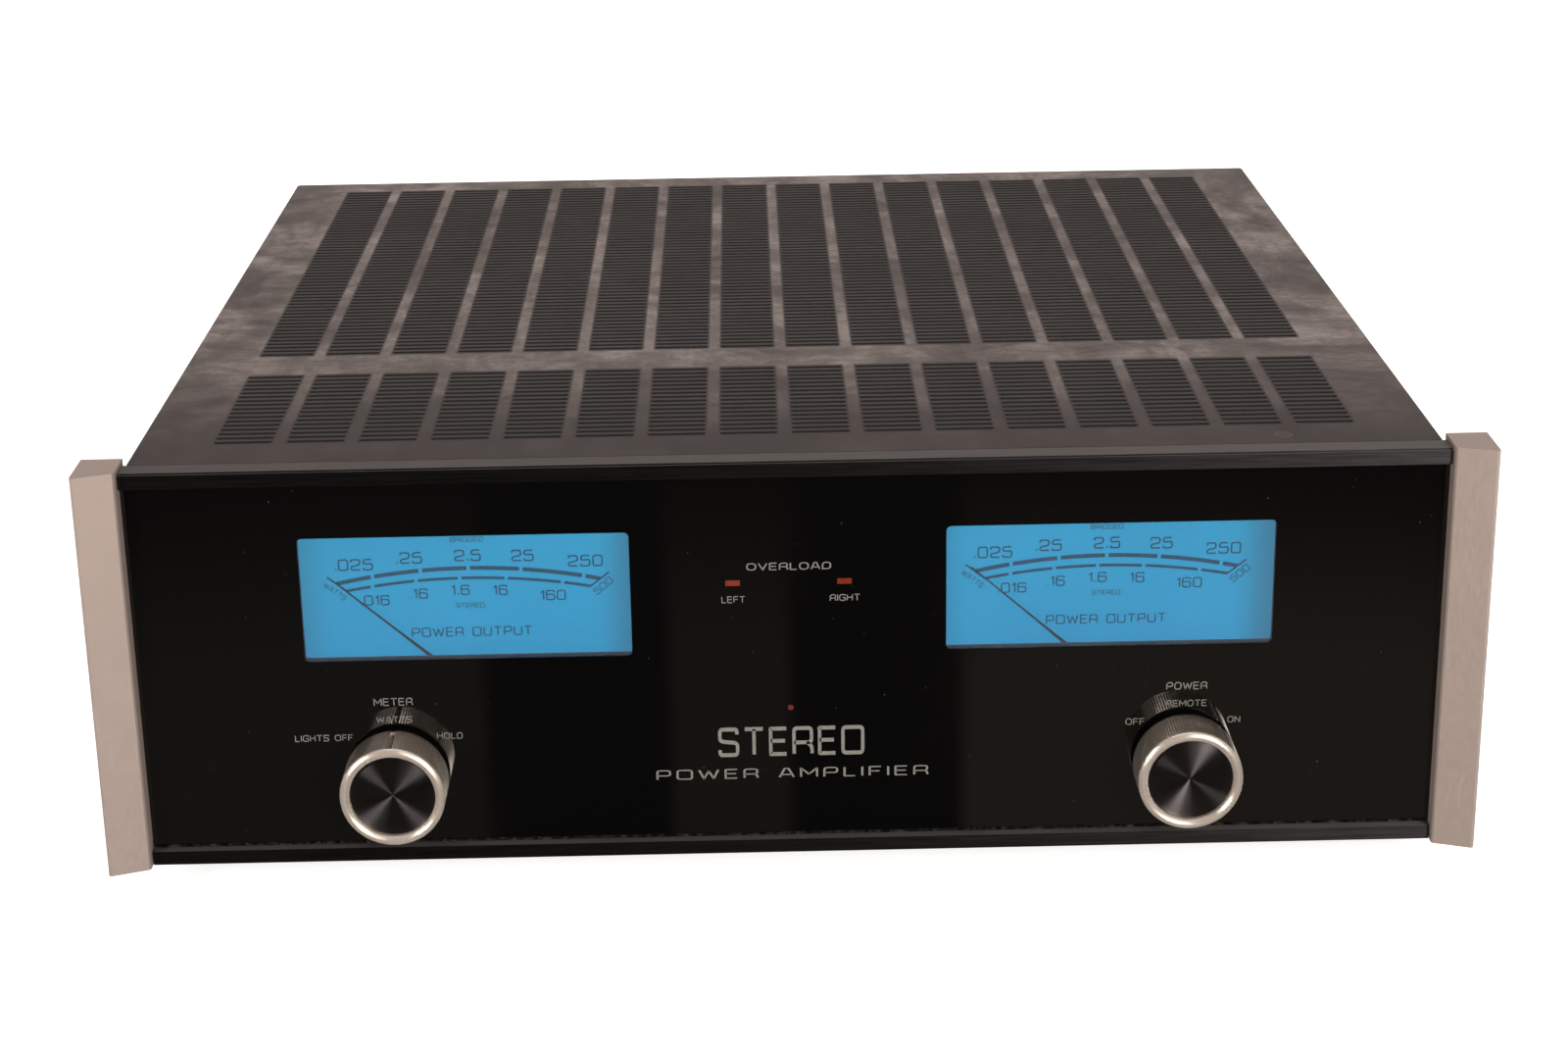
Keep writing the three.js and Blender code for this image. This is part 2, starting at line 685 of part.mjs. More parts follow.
function modeSwitchBody() {
  const face = OUTSIDE + 1.5;
  const body = joined([
    box([-13, 13], [OUTSIDE, face], [-7, 7]),
    box(symmetric(MODE_BODY[0]), [384, OUTSIDE + 0.5], symmetric(MODE_BODY[1])),
  ]);
  const pocket = box(symmetric(SLIDER_POCKET[0]), [SLIDER_FLOOR, face + 1], symmetric(SLIDER_POCKET[1]));
  return without(body, [pocket]);
}

function modeSwitchSlider() {
  const z = symmetric(SLIDER_POCKET[1] - GAP);
  return box([-5.6, -0.4], [SLIDER_FLOOR + GAP, OUTSIDE + 3.4], z);
}

function postBase() {
  return turned([
    [0, 386],
    [POST_STUD, 386],
    [POST_STUD, OUTSIDE],
    [9.5, OUTSIDE],
    [9.5, OUTSIDE + 4],
    [2.9, OUTSIDE + 4],
    [2.9, OUTSIDE + 18],
    [0, OUTSIDE + 18],
  ]);
}

const POST_CAP_FRONT = OUTSIDE + 4.4;
const POST_CAP_FLOOR = BACK_REACH - 4;

function postSleeve() {
  const z = [POST_CAP_FRONT, POST_CAP_FLOOR - GAP];
  return turnedRing([[3.2, z[0]], [5.2, z[0]], [5.2, z[1]], [3.2, z[1]]], 20);
}

function postCap() {
  const body = fluted(9, 0.6, 16, [POST_CAP_FRONT, BACK_REACH]);
  return without(body, [
    disc(5.5, [POST_CAP_FRONT - 1, POST_CAP_FLOOR], 20),
    disc(2.05, [POST_CAP_FLOOR - 1, BACK_REACH + 1], 16),
  ]);
}

function buildRear() {
  place("rear_panel", rearPanel(), BLACK_STEEL);
  place("ac_inlet", acInlet(), BLACK_PLASTIC, [INLET_X, 0, INLET_Z]);
  place("fuse_drawer", fuseDrawer(), BLACK_PLASTIC, [INLET_X, 0, INLET_Z]);
  for (const [side, name] of [[-1, "left"], [1, "right"]]) {
    place(`xlr_jack_${name}`, xlrJack(), BLACK_PLASTIC, [side * JACK_X, 0, XLR_Z]);
    place(`rca_jack_${name}`, rcaJack(), GOLD_BRASS, [side * JACK_X, 0, RCA_Z]);
  }
  place("mode_switch_body", modeSwitchBody(), BLACK_PLASTIC, [0, 0, MODE_Z]);
  place("mode_switch_slider", modeSwitchSlider(), STEEL, [0, 0, MODE_Z]);
  POST_NAMES.forEach((name, i) => {
    const at = [POST_X[i], 0, POST_Z];
    const capLook = name.endsWith("positive") ? POST_RED : BLACK_PLASTIC;
    place(`post_${name}_base`, postBase(), GOLD_BRASS, at);
    place(`post_${name}_sleeve`, postSleeve(), GOLD_BRASS, at);
    place(`post_${name}_cap`, postCap(), capLook, at);
  });
}

buildFront();
buildMeter(-1, "left");
buildMeter(1, "right");
buildSelector(-1, "meter", 0);
buildSelector(1, "power", POWER_POINTER_DEG);
buildIndicators();
buildChassis();
buildInside();
buildRear();

const amplifier = new THREE.Group();
amplifier.add(unit);
export default amplifier;
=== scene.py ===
"""A two-channel power amplifier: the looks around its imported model.

Lengths in the code are millimetres from the panel's centre (x), the front face of the trim
rails (y, depth towards the back) and the bottom of the end caps (z); at() turns them into
the model's frame in metres.
"""
import math
import random

import bmesh
import bpy
from mathutils import Euler, Matrix, Vector


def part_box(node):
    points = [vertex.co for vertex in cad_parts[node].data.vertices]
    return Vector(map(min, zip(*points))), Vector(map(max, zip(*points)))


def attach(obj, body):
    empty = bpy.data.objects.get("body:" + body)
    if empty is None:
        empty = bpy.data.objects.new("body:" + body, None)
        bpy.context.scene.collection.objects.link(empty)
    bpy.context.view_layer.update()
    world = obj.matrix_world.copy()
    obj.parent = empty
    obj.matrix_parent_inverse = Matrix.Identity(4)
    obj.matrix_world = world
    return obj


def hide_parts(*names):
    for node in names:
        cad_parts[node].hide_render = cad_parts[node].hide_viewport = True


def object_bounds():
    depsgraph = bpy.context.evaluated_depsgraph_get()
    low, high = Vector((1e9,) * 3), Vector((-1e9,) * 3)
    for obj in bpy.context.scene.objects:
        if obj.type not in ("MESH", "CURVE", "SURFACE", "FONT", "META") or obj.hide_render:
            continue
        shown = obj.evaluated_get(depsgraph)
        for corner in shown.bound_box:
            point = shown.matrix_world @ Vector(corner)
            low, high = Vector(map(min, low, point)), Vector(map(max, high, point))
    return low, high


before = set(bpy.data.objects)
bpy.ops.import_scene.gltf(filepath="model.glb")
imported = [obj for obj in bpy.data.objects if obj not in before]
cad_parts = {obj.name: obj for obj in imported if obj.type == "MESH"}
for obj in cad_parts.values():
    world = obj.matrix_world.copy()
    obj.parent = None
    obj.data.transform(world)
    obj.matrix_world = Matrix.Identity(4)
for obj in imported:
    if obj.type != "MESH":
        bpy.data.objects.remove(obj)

CAD_BOX = [list(corner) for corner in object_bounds()]

MM = 0.001
FRONT_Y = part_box("top_trim_rail")[0][1]
BASE_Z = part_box("end_cap_left")[0][2]
FLOOR_Z = CAD_BOX[0][2]

# Front panel, mm.
GLASS_HALF = 208.8
GLASS_LOW = 5.15
GLASS_HIGH = 129.3
GLASS_FRONT = 3.0
GLASS_BACK = 6.0
METERS = (("left", -102.7), ("right", 102.7))
WINDOW_HALF = 52.4
WINDOW_LOW = 69.3
WINDOW_HIGH = 111.3
WINDOW_CORNER = 1.6
KNOB_X = 127.7
KNOB_Z = 29.5
SHAFT_HOLE = 5.0
PANE_DEPTH = 0.6
HAIR = 0.02
SCALE_FRONT = 15.0
NEEDLE_Z = 55.5
NEEDLE_REST = -48.6
NEEDLE_LENGTH = 58.1
NEEDLE_Y = (12.0, 12.5)

# Rear panel and jack flanges, mm.
REAR_FACE = 396.6
XLR_FACE = 398.9

# Cover, mm.
COVER_HALF = 208.4
COVER_FRONT = 9.3
COVER_BACK = 398.0
COVER_TOP = 134.8
COVER_LOW = 1.0
COVER_SHEET = 1.2
COVER_BEND = 1.6
COLUMNS = 16
COLUMN_PITCH = 23.23
SLOT_LENGTH = 18.8
SLOT_PITCH = 4.53
SLOT_WIDTH = 2.2
FRONT_ROWS = 17
REAR_ROWS = 56
FRONT_ROW_Y = 30.5
REAR_ROW_Y = 130.9
SLOT_GROUPS = ((FRONT_ROW_Y, FRONT_ROWS), (REAR_ROW_Y, REAR_ROWS))
RING_AT = (158.7, 17.7)


def at(x, y, z):
    return Vector((x * MM, FRONT_Y + y * MM, BASE_Z + z * MM))


# ---- materials


def shader_of(mat):
    return mat.node_tree.nodes["Principled BSDF"]


def plug(owner, value, socket):
    """Links value into socket when it is a socket itself, or else sets it as the constant."""
    if isinstance(value, bpy.types.NodeSocket):
        owner.node_tree.links.new(value, socket)
    elif socket.type == "RGBA":
        socket.default_value = (*value, 1.0)
    else:
        socket.default_value = value


def look(name, color, roughness, metallic=0.0, **sockets):
    """A new Principled material with constants on the shader's own sockets."""
    mat = bpy.data.materials.new(name)
    mat.use_nodes = True
    values = {"Base_Color": color, "Roughness": roughness, "Metallic": metallic, **sockets}
    for key, value in values.items():
        plug(mat, value, shader_of(mat).inputs[key.replace("_", " ")])
    return mat


def node(owner, kind, settings=None, **inputs):
    """A new node in a material's or the world's tree."""
    made = owner.node_tree.nodes.new("ShaderNode" + kind)
    for key, value in (settings or {}).items():
        setattr(made, key, value)
    for key, value in inputs.items():
        plug(owner, value, made.inputs[key.replace("_", " ")])
    return made


def coords(mat, scale=(1, 1, 1), turn=(0, 0, 0)):
    """Object coordinates in metres, stretched by scale."""
    source = node(mat, "TexCoord").outputs["Object"]
    return node(mat, "Mapping", Vector=source, Scale=scale, Rotation=turn).outputs[0]


def split(owner, vector):
    return node(owner, "SeparateXYZ", Vector=vector).outputs


def noise(mat, vector, scale, detail=4.0, rough=0.5, distort=0.0):
    return node(
        mat, "TexNoise", Vector=vector, Scale=scale, Detail=detail,
        Roughness=rough, Distortion=distort,
    ).outputs["Fac"]


def span(owner, value, low, high, to_low=0.0, to_high=1.0):
    """Maps value from low..high to to_low..to_high, clamped and smooth."""
    return node(
        owner, "MapRange", {"interpolation_type": "SMOOTHSTEP"}, Value=value,
        From_Min=low, From_Max=high, To_Min=to_low, To_Max=to_high,
    ).outputs[0]


def maths(owner, operation, a, b, kind="Math", output=0):
    made = node(owner, kind, {"operation": operation})
    for socket, value in zip(made.inputs, (a, b)):
        plug(owner, value, socket)
    return made.outputs[output]


def product(owner, first, *others):
    for other in others:
        first = maths(owner, "MULTIPLY", first, other)
    return first


def stretch(owner, value, start, full, fade, end):
    """One from full to fade, falling to zero at start and at end."""
    return product(owner, span(owner, value, start, full), span(owner, value, end, fade))


def mix(owner, factor, a, b):
    """Mixes two colours, each a socket or an RGB triple."""
    made = node(owner, "Mix", {"data_type": "RGBA"})
    for index, value in ((0, factor), (6, a), (7, b)):
        plug(owner, value, made.inputs[index])
    return made.outputs[2]


def tone(mat, value, low, high, first, second, top=1.0):
    """Goes from colour first towards second, as far as top, while value goes from low to high."""
    return mix(mat, span(mat, value, low, high, 0.0, top), first, second)


def faded(color, factor):
    return tuple(c * factor for c in color)


def feed(mat, socket_name, value):
    plug(mat, value, shader_of(mat).inputs[socket_name])


def paint(mat, *stops):
    feed(mat, "Base Color", tone(mat, *stops))


def rough(mat, *stops):
    feed(mat, "Roughness", span(mat, *stops))


def bump(mat, height, strength, distance):
    made = node(mat, "Bump", Height=height, Strength=strength, Distance=distance)
    feed(mat, "Normal", made.outputs[0])


def normal_of(mat):
    return node(mat, "TexCoord").outputs["Normal"]


def vent_mask(mat, plain):
    """One over the slotted columns of the cover, where the narrow ribs hold less dust."""
    x, y, _ = split(mat, plain)
    pitch = COLUMN_PITCH * MM
    column = maths(mat, "PINGPONG", maths(mat, "ADD", x, 40.5 * pitch), pitch / 2)
    columns = span(mat, column, (SLOT_LENGTH / 2 + 1.0) * MM, (SLOT_LENGTH / 2 - 0.3) * MM)
    reach = COLUMNS / 2 * pitch
    inside = span(mat, maths(mat, "ABSOLUTE", x, 0.0), reach, reach - MM)
    bands = 0.0
    for first, rows in SLOT_GROUPS:
        low, high = at(0, first, 0).y, at(0, first + (rows - 1) * SLOT_PITCH, 0).y
        band = stretch(mat, y, low - 4 * MM, low - 1.5 * MM, high + 1.5 * MM, high + 4 * MM)
        bands = maths(mat, "ADD", bands, band)
    return product(mat, columns, inside, bands)


def dust_film(mat, plain):
    """How thickly dust lies: drifts, long wiped streaks, swirls and grain."""
    clouds = noise(mat, plain, 13.0, 5.0, 0.6, 1.6)
    wipes = noise(mat, coords(mat, (1.0, 0.35, 1.0), (0, 0, 0.5)), 38.0, 5.0, 0.62, 1.5)
    swirls = noise(mat, coords(mat, (0.5, 1.0, 1.0), (0, 0, -0.7)), 85.0, 6.0, 0.7, 2.6)
    grain = noise(mat, plain, 520.0, 3.0, 0.75)
    return product(
        mat, span(mat, clouds, 0.3, 0.66, 0.3, 1.0), span(mat, wipes, 0.32, 0.68, 0.45, 1.0),
        span(mat, swirls, 0.36, 0.62, 0.62, 1.05), span(mat, grain, 0.25, 0.75, 0.8, 1.15))


def ring_mark(mat, plain):
    """The faint ring some small round thing left in the dust near the front."""
    centre = at(*RING_AT, COVER_TOP)
    away = maths(mat, "DISTANCE", plain, centre, "VectorMath", "Value")
    outer = span(mat, away, 3.4 * MM, 2.8 * MM)
    inner = span(mat, away, 1.8 * MM, 2.6 * MM, 0.4, 1.0)
    return product(mat, outer, inner, 0.16)


def dusty_paint(name, color, dust, amount=1.0, vents=False):
    """Matte sheet-metal paint: settled dust where it faces up, wiped smudges and fine specks."""
    mat = look(name, color, 0.55, Specular_IOR_Level=0.18)
    plain = coords(mat)
    upward = split(mat, normal_of(mat))[2]
    specks = noise(mat, plain, 1400.0, 1.0, 0.4)
    film = dust_film(mat, plain)
    if vents:
        # The film fades towards the front, so the cover is lighter towards the back.
        depth = split(mat, plain)[1]
        film = product(mat, film, span(mat, depth, -0.195, -0.05, 0.12, 1.25),
                       span(mat, vent_mask(mat, plain), 0.0, 1.0, 1.0, 0.07))
        film = maths(mat, "ADD", film, ring_mark(mat, plain))
    film = product(mat, film, span(mat, upward, 0.2, 0.9, 0.1 * amount, amount))
    dots = product(mat, span(mat, specks, 0.74, 0.8), 0.22 * amount)
    feed(mat, "Base Color", mix(mat, dots, mix(mat, film, color, dust), dust))
    rough(mat, film, 0.0, 0.5, 0.48, 0.7)
    bump(mat, noise(mat, plain, 2600.0, 2.0, 0.6), 0.25, 0.00012)
    return mat


def brushed(name, color, roughness, scale, contrast=0.35, metallic=1.0):
    """Metal with fine grain lines along the axis where scale is small."""
    mat = look(name, color, roughness, metallic)
    lines = noise(mat, coords(mat, scale), 1.0, 3.0, 0.6)
    broad = noise(mat, coords(mat), 30.0, 3.0, 0.5)
    shade = tone(mat, lines, 0.25, 0.75, faded(color, 1.0 - contrast), color)
    paint(mat, broad, 0.3, 0.8, shade, faded(color, 0.7), 0.18)
    rough(mat, lines, 0.2, 0.8, roughness * 0.8, roughness * 1.25)
    bump(mat, lines, 0.12, 0.00006)
    return mat


def rail_black():
    """Black brushed aluminium: bare on its front, and as dusty as the cover where it faces up."""
    mat = look("rail_black", (0.05, 0.046, 0.045), 0.35, 0.85, Anisotropic=0.84)
    lines = noise(mat, coords(mat, (45.0, 1900.0, 1900.0)), 1.0, 3.0, 0.65)
    normal = normal_of(mat)
    # The grain runs along x, so the gloss spreads across it.
    across = maths(mat, "CROSS_PRODUCT", normal, (1.0, 0.0, 0.0), "VectorMath")
    feed(mat, "Tangent", across)
    clouds = noise(mat, coords(mat), 38.0, 4.0, 0.6, 0.5)
    film = product(mat, span(mat, split(mat, normal)[2], 0.6, 0.9),
                   span(mat, clouds, 0.25, 0.7, 0.6, 1.0))
    metal = tone(mat, lines, 0.3, 0.7, (0.034, 0.0325, 0.033), (0.06, 0.057, 0.0585))
    dusty = tone(mat, lines, 0.3, 0.7, (0.05, 0.041, 0.038), (0.068, 0.056, 0.052))
    feed(mat, "Base Color", mix(mat, film, metal, dusty))
    feed(mat, "Metallic", span(mat, film, 0.0, 0.8, 1.0, 0.1))
    rough(mat, film, 0.0, 0.8, 0.35, 0.7)
    bump(mat, lines, 0.1, 0.00004)
    return mat


def blasted(name, color, rim):
    """Satin blasted aluminium, champagne tinted, with a fine upright grain and broad lighter
    patches.
    """
    mat = look(name, color, 0.5, 0.5)
    fine = noise(mat, coords(mat, (1.0, 1.0, 0.14)), 2400.0, 2.0, 0.7)
    broad = noise(mat, coords(mat), 26.0, 4.0, 0.55)
    shade = tone(mat, fine, 0.3, 0.7, faded(color, 0.955), color)
    paint(mat, broad, 0.42, 0.8, shade, rim, 0.3)
    rough(mat, fine, 0.3, 0.7, 0.42, 0.58)
    bump(mat, fine, 0.1, 0.00004)
    return mat


def moulded(name, color, roughness=0.45, vary=0.25, **sockets):
    """Moulded plastic, rubber or paint with fine texture and handling marks."""
    mat = look(name, color, roughness, **sockets)
    plain = coords(mat)
    blotch = noise(mat, plain, 45.0, 4.0, 0.6)
    lighter = tuple(min(1.0, c * (1.0 + vary) + 0.004) for c in color)
    paint(mat, blotch, 0.35, 0.75, color, lighter)
    rough(mat, blotch, 0.3, 0.7, roughness * 0.85, roughness * 1.2)
    bump(mat, noise(mat, plain, 1500.0, 2.0, 0.6), 0.2, 0.00008)
    return mat


def plated(name, color, roughness=0.2):
    """Turned or plated metal with faint tarnish."""
    mat = look(name, color, roughness, 1.0)
    stain = noise(mat, coords(mat), 220.0, 4.0, 0.6)
    paint(mat, stain, 0.4, 0.8, color, faded(color, 0.62), 0.5)
    rough(mat, stain, 0.3, 0.8, roughness, roughness * 1.9)
    return mat


def lathed(name, color, roughness, metallic, anisotropic):
    """Metal whose grain runs in circles around the Y axis, so lights show as spokes."""
    mat = look(name, color, roughness, metallic, Anisotropic=anisotropic,
               Anisotropic_Rotation=0.25)
    tangent = node(mat, "Tangent", {"direction_type": "RADIAL", "axis": "Y"})
    feed(mat, "Tangent", tangent.outputs[0])
    return mat


def spun_black():
    """The black disc in each knob."""
    black = (0.08, 0.074, 0.076)
    mat = lathed("spun_black", black, 0.29, 1.0, 1.0)
    stains = noise(mat, coords(mat), 160.0, 3.0, 0.5)
    paint(mat, stains, 0.4, 0.8, black, (0.052, 0.048, 0.049), 0.4)
    return mat


def turned_bright(name, anisotropic, roughness, metallic):
    """Bright turned aluminium, warm where handling has dulled it."""
    bright = (0.72, 0.63, 0.55)
    mat = lathed(name, bright, roughness, metallic, anisotropic)
    haze = noise(mat, coords(mat), 90.0, 3.0, 0.6)
    paint(mat, haze, 0.35, 0.75, bright, (0.54, 0.45, 0.37), 0.35)
    rough(mat, haze, 0.3, 0.8, roughness * 0.9, roughness * 1.15)
    return mat


def black_glass():
    """Glass painted black behind: a dark mirror with a little dust and wiping haze."""
    black = (0.0012, 0.0011, 0.0011)
    mat = look("black_glass", black, 0.03, Specular_IOR_Level=0.5)
    plain = coords(mat)
    specks = noise(mat, plain, 900.0, 1.0, 0.3)
    haze = noise(mat, coords(mat, (1.0, 1.0, 0.5)), 14.0, 4.0, 0.6, 0.6)
    low = BASE_Z + GLASS_LOW * MM
    foot = span(mat, split(mat, plain)[2], low + 1.3 * MM, low + 0.2 * MM)
    crumbs = span(mat, noise(mat, plain, 240.0, 5.0, 0.75), 0.42, 0.75, 0.0, 0.22)
    dots = span(mat, specks, 0.79, 0.83, 0.0, 0.16)
    settled = maths(mat, "MAXIMUM", dots, product(mat, foot, crumbs))
    feed(mat, "Base Color", mix(mat, settled, black, (0.24, 0.22, 0.2)))
    rough(mat, haze, 0.45, 0.8, 0.02, 0.06)
    return mat


def backlit_scale():
    """The meter's blue plate, lit through from behind, a little brighter towards the top, with
    painted shade at both ends.
    """
    mat = look("backlit_scale", (0.0, 0.05, 0.1), 0.9, Specular_IOR_Level=0.0,
               Emission_Strength=0.99)
    plain = coords(mat)
    cloud = noise(mat, plain, 14.0, 2.0, 0.5)
    across, _, height = split(mat, plain)
    low, high = (BASE_Z + z * MM for z in (62, 112))
    blue = tone(mat, height, low, high, (0.002, 0.235, 0.45), (0.004, 0.25, 0.45))
    blue = tone(mat, cloud, 0.3, 0.7, blue, (0.006, 0.26, 0.47), 0.5)
    # Painted shade: the plate's light is darker near both ends, where the housing's sides shade it.
    for _, centre in METERS:
        right = stretch(mat, across, *((centre + x) * MM for x in (40, 54, 58, 62)))
        left = stretch(mat, across, *((centre + x) * MM for x in (-62, -58, -55, -44)))
        dim = maths(mat, "MAXIMUM", product(mat, right, 0.7), product(mat, left, 0.42))
        blue = mix(mat, dim, blue, (0.012, 0.11, 0.18))
    paint(mat, cloud, 0.3, 0.7, (0.0, 0.045, 0.1), (0.001, 0.055, 0.12))
    feed(mat, "Emission Color", blue)
    return mat


def printed(name, color, glow=None, strength=0.0):
    """Flat ink, slightly uneven; glow is light it gives off of its own: what passes through print
    on a lit plate, and painted light on the needle.
    """
    mat = look(name, color, 0.8, Specular_IOR_Level=0.0)
    patchy = noise(mat, coords(mat), 600.0, 3.0, 0.6)
    paint(mat, patchy, 0.3, 0.7, faded(color, 0.8), color)
    if glow:
        feed(mat, "Emission Color", tone(mat, patchy, 0.3, 0.7, glow, faded(glow, 0.85)))
        feed(mat, "Emission Strength", strength)
    return mat


def housing_with_painted_light():
    """The white lamp housing, given a blue colour and a glow of its own: painted light for the
    plate's blue light that fills it.
    """
    mat = look("housing_with_painted_light", (0.06, 0.3, 0.5), 0.5, Emission_Strength=0.35)
    cloud = noise(mat, coords(mat), 40.0, 3.0, 0.5)
    paint(mat, cloud, 0.3, 0.7, (0.05, 0.26, 0.44), (0.07, 0.31, 0.5))
    feed(mat, "Emission Color", tone(mat, cloud, 0.3, 0.7, (0.02, 0.2, 0.4), (0.03, 0.23, 0.44)))
    return mat


LOOKS = {
    "cover": dusty_paint("cover_paint", (0.03, 0.0222, 0.0212), (0.225, 0.185, 0.173), 1.0, True),
    # Painted shade: the cover's inner skin and the walls of its slots are near black, so the slots
    # read as dark as the shade in them.
    "cover_inside_painted_shade": moulded("cover_inside_painted_shade", (0.0035, 0.003, 0.003), 0.7),
    "cap": blasted("cap_satin", (0.35, 0.278, 0.245), (0.42, 0.337, 0.295)),
    "rail": rail_black(),
    # Painted shade: the top rail's narrow groove is near black for the shadow in it.
    "groove": moulded("groove_painted_shade", (0.002, 0.002, 0.002), 0.8),
    "glass": black_glass(),
    "pane": look("window_pane", (1, 1, 1), 0.0, Transmission_Weight=1.0, IOR=1.45),
    # Painted light: the window walls are dark blue for the plate's blue light falling on them.
    "window_wall_painted_light": moulded("window_wall_painted_light", (0.004, 0.016, 0.04), 0.6, Specular_IOR_Level=0.05),
    "scale": backlit_scale(),
    "print": printed("scale_print", (0.0, 0.015, 0.04), (0.0, 0.075, 0.15), 0.55),
    # Painted light: the needle glows faintly blue of its own for the plate's light around it.
    "needle": printed("needle", (0.004, 0.014, 0.03), (0.004, 0.025, 0.05), 0.4),
    "housing": housing_with_painted_light(),
    "legend": printed("legend_ink", (0.16, 0.158, 0.14)),
    "lamp": moulded("lamp_window", (0.11, 0.01, 0.002), 0.4, 0.3, Specular_IOR_Level=0.2),
    "sensor": moulded("sensor_window", (0.1, 0.009, 0.014), 0.3, 0.3),
    "bright": turned_bright("turned_bright", 0.5, 0.28, 0.72),
    "knurl": turned_bright("knurled_bright", 0.0, 0.24, 0.85),
    "spun": spun_black(),
    "plastic": moulded("black_plastic", (0.012, 0.012, 0.013), 0.42),
    "rubber": moulded("rubber", (0.014, 0.014, 0.014), 0.75),
    "steel": plated("plated_steel", (0.55, 0.54, 0.52), 0.3),
    "zinc": brushed("zinc_sheet", (0.42, 0.42, 0.41), 0.42, (60.0, 2200.0, 2200.0), 0.15),
    "gold": plated("gold_plate", (0.78, 0.55, 0.2), 0.18),
    "red": moulded("red_plastic", (0.32, 0.01, 0.008), 0.3, 0.12),
    "screw": plated("black_screw", (0.09, 0.088, 0.09), 0.32),
    # Painted shade: the cross recess of each screw head is near black.
    "recess": moulded("screw_recess_painted_shade", (0.004, 0.004, 0.004), 0.7),
    "white_ink": printed("white_ink", (0.42, 0.41, 0.39)),
    "board": moulded("circuit_board", (0.012, 0.075, 0.03), 0.35),
    "black_steel": dusty_paint("black_steel", (0.02, 0.019, 0.0195), (0.16, 0.15, 0.14), 0.35),
    "sink": brushed("heatsink_black", (0.03, 0.03, 0.032), 0.45, (2200.0, 2200.0, 60.0), 0.3, 0.8),
    "can": moulded("transformer_can", (0.02, 0.021, 0.025), 0.5),
    "sleeve": moulded("capacitor_sleeve", (0.014, 0.035, 0.12), 0.3),
}

# The looks of the CAD pieces that show as they are. Words in capitals stand for each of FILLS.
FILLS = {"SIDE": ("left", "right"), "END": ("front", "rear"), "POLE": ("negative", "positive"),
         "SELECTOR": ("meter", "power")}
NODE_LOOKS = {
    "black_steel": ["front_subpanel", "rear_panel"],
    "board": ["control_board", "input_board", "amplifier_board_SIDE"],
    "can": ["power_transformer"],
    "cap": ["end_cap_SIDE"],
    "gold": ["rca_jack_SIDE", "post_SIDE_POLE_base", "post_SIDE_POLE_sleeve"],
    "housing": ["meter_SIDE_housing"],
    "lamp": ["overload_led_SIDE"],
    "plastic": ["ac_inlet", "fuse_drawer", "mode_switch_body", "xlr_jack_SIDE",
                "meter_SIDE_movement", "SELECTOR_selector_switch", "post_SIDE_negative_cap"],
    "rail": ["bottom_trim_rail"],
    "red": ["post_SIDE_positive_cap"],
    "rubber": ["foot_END_SIDE"],
    "scale": ["meter_SIDE_scale"],
    "sink": ["heatsink_SIDE"],
    "sleeve": ["filter_capacitor_SIDE"],
    "steel": ["mode_switch_slider", "SELECTOR_selector_shaft"],
    "zinc": ["chassis_tray"],
}
# Widths of rounded edges, mm.
BEVELS = {"end_cap_SIDE": 0.8, "bottom_trim_rail": 0.25, "ac_inlet": 0.4, "fuse_drawer": 0.4,
          "mode_switch_body": 0.3, "mode_switch_slider": 0.3, "xlr_jack_SIDE": 0.4}


def named(pattern):
    """Every name a pattern stands for."""
    names = {pattern}
    for word, fills in FILLS.items():
        names = {name.replace(word, fill) for name in names for fill in fills}
    return sorted(names)


def soften(obj, angle=32.0):
    mesh = obj.data
    mesh.polygons.foreach_set("use_smooth", [True] * len(mesh.polygons))
    mesh.set_sharp_from_angle(angle=math.radians(angle))


def add_bevel(obj, width_mm):
    bevel = obj.modifiers.new("edges", "BEVEL")
    bevel.width = width_mm * MM
    bevel.segments = 3
    bevel.limit_method = "ANGLE"
    bevel.angle_limit = math.radians(40)
    bevel.harden_normals = True


def dress_nodes():
    for key, patterns in NODE_LOOKS.items():
        for name in (n for pattern in patterns for n in named(pattern)):
            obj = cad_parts[name]
            obj.data.materials.clear()
            obj.data.materials.append(LOOKS[key])
            soften(obj)
    for pattern, width in BEVELS.items():
        for name in named(pattern):
            add_bevel(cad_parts[name], width)


# ---- mesh pieces


def piece(name, verts, faces, looks, body="chassis", face_looks=None, smooth=32.0,
          origin=None):
    """A mesh object from points in the model's frame; origin sets the object's own centre."""
    centre = origin or Vector()
    mesh = bpy.data.meshes.new(name)
    mesh.from_pydata([tuple(Vector(v) - centre) for v in verts], [], faces)
    for key in looks:
        mesh.materials.append(LOOKS[key])
    if face_looks:
        mesh.polygons.foreach_set("material_index", face_looks)
    mesh.update()
    obj = bpy.data.objects.new(name, mesh)
    obj.location = centre
    bpy.context.scene.collection.objects.link(obj)
    bpy.context.view_layer.update()
    if smooth:
        soften(obj, smooth)
    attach(obj, body)
    return obj


def fix_normals(obj):
    bm = bmesh.new()
    bm.from_mesh(obj.data)
    bmesh.ops.recalc_face_normals(bm, faces=bm.faces)
    bm.to_mesh(obj.data)
    bm.free()


def harvest(bm):
    """A finished bmesh as points, faces and the faces' material numbers; the bmesh is freed."""
    bmesh.ops.recalc_face_normals(bm, faces=bm.faces)
    bm.verts.index_update()
    points = [v.co.copy() for v in bm.verts]
    faces = [tuple(v.index for v in face.verts) for face in bm.faces]
    marks = [face.material_index for face in bm.faces]
    bm.free()
    return points, faces, marks


def loop_edges(bm, loop):
    pairs = [(loop[i], loop[(i + 1) % len(loop)]) for i in range(len(loop))]
    return [bm.edges.get(pair) or bm.edges.new(pair) for pair in pairs]


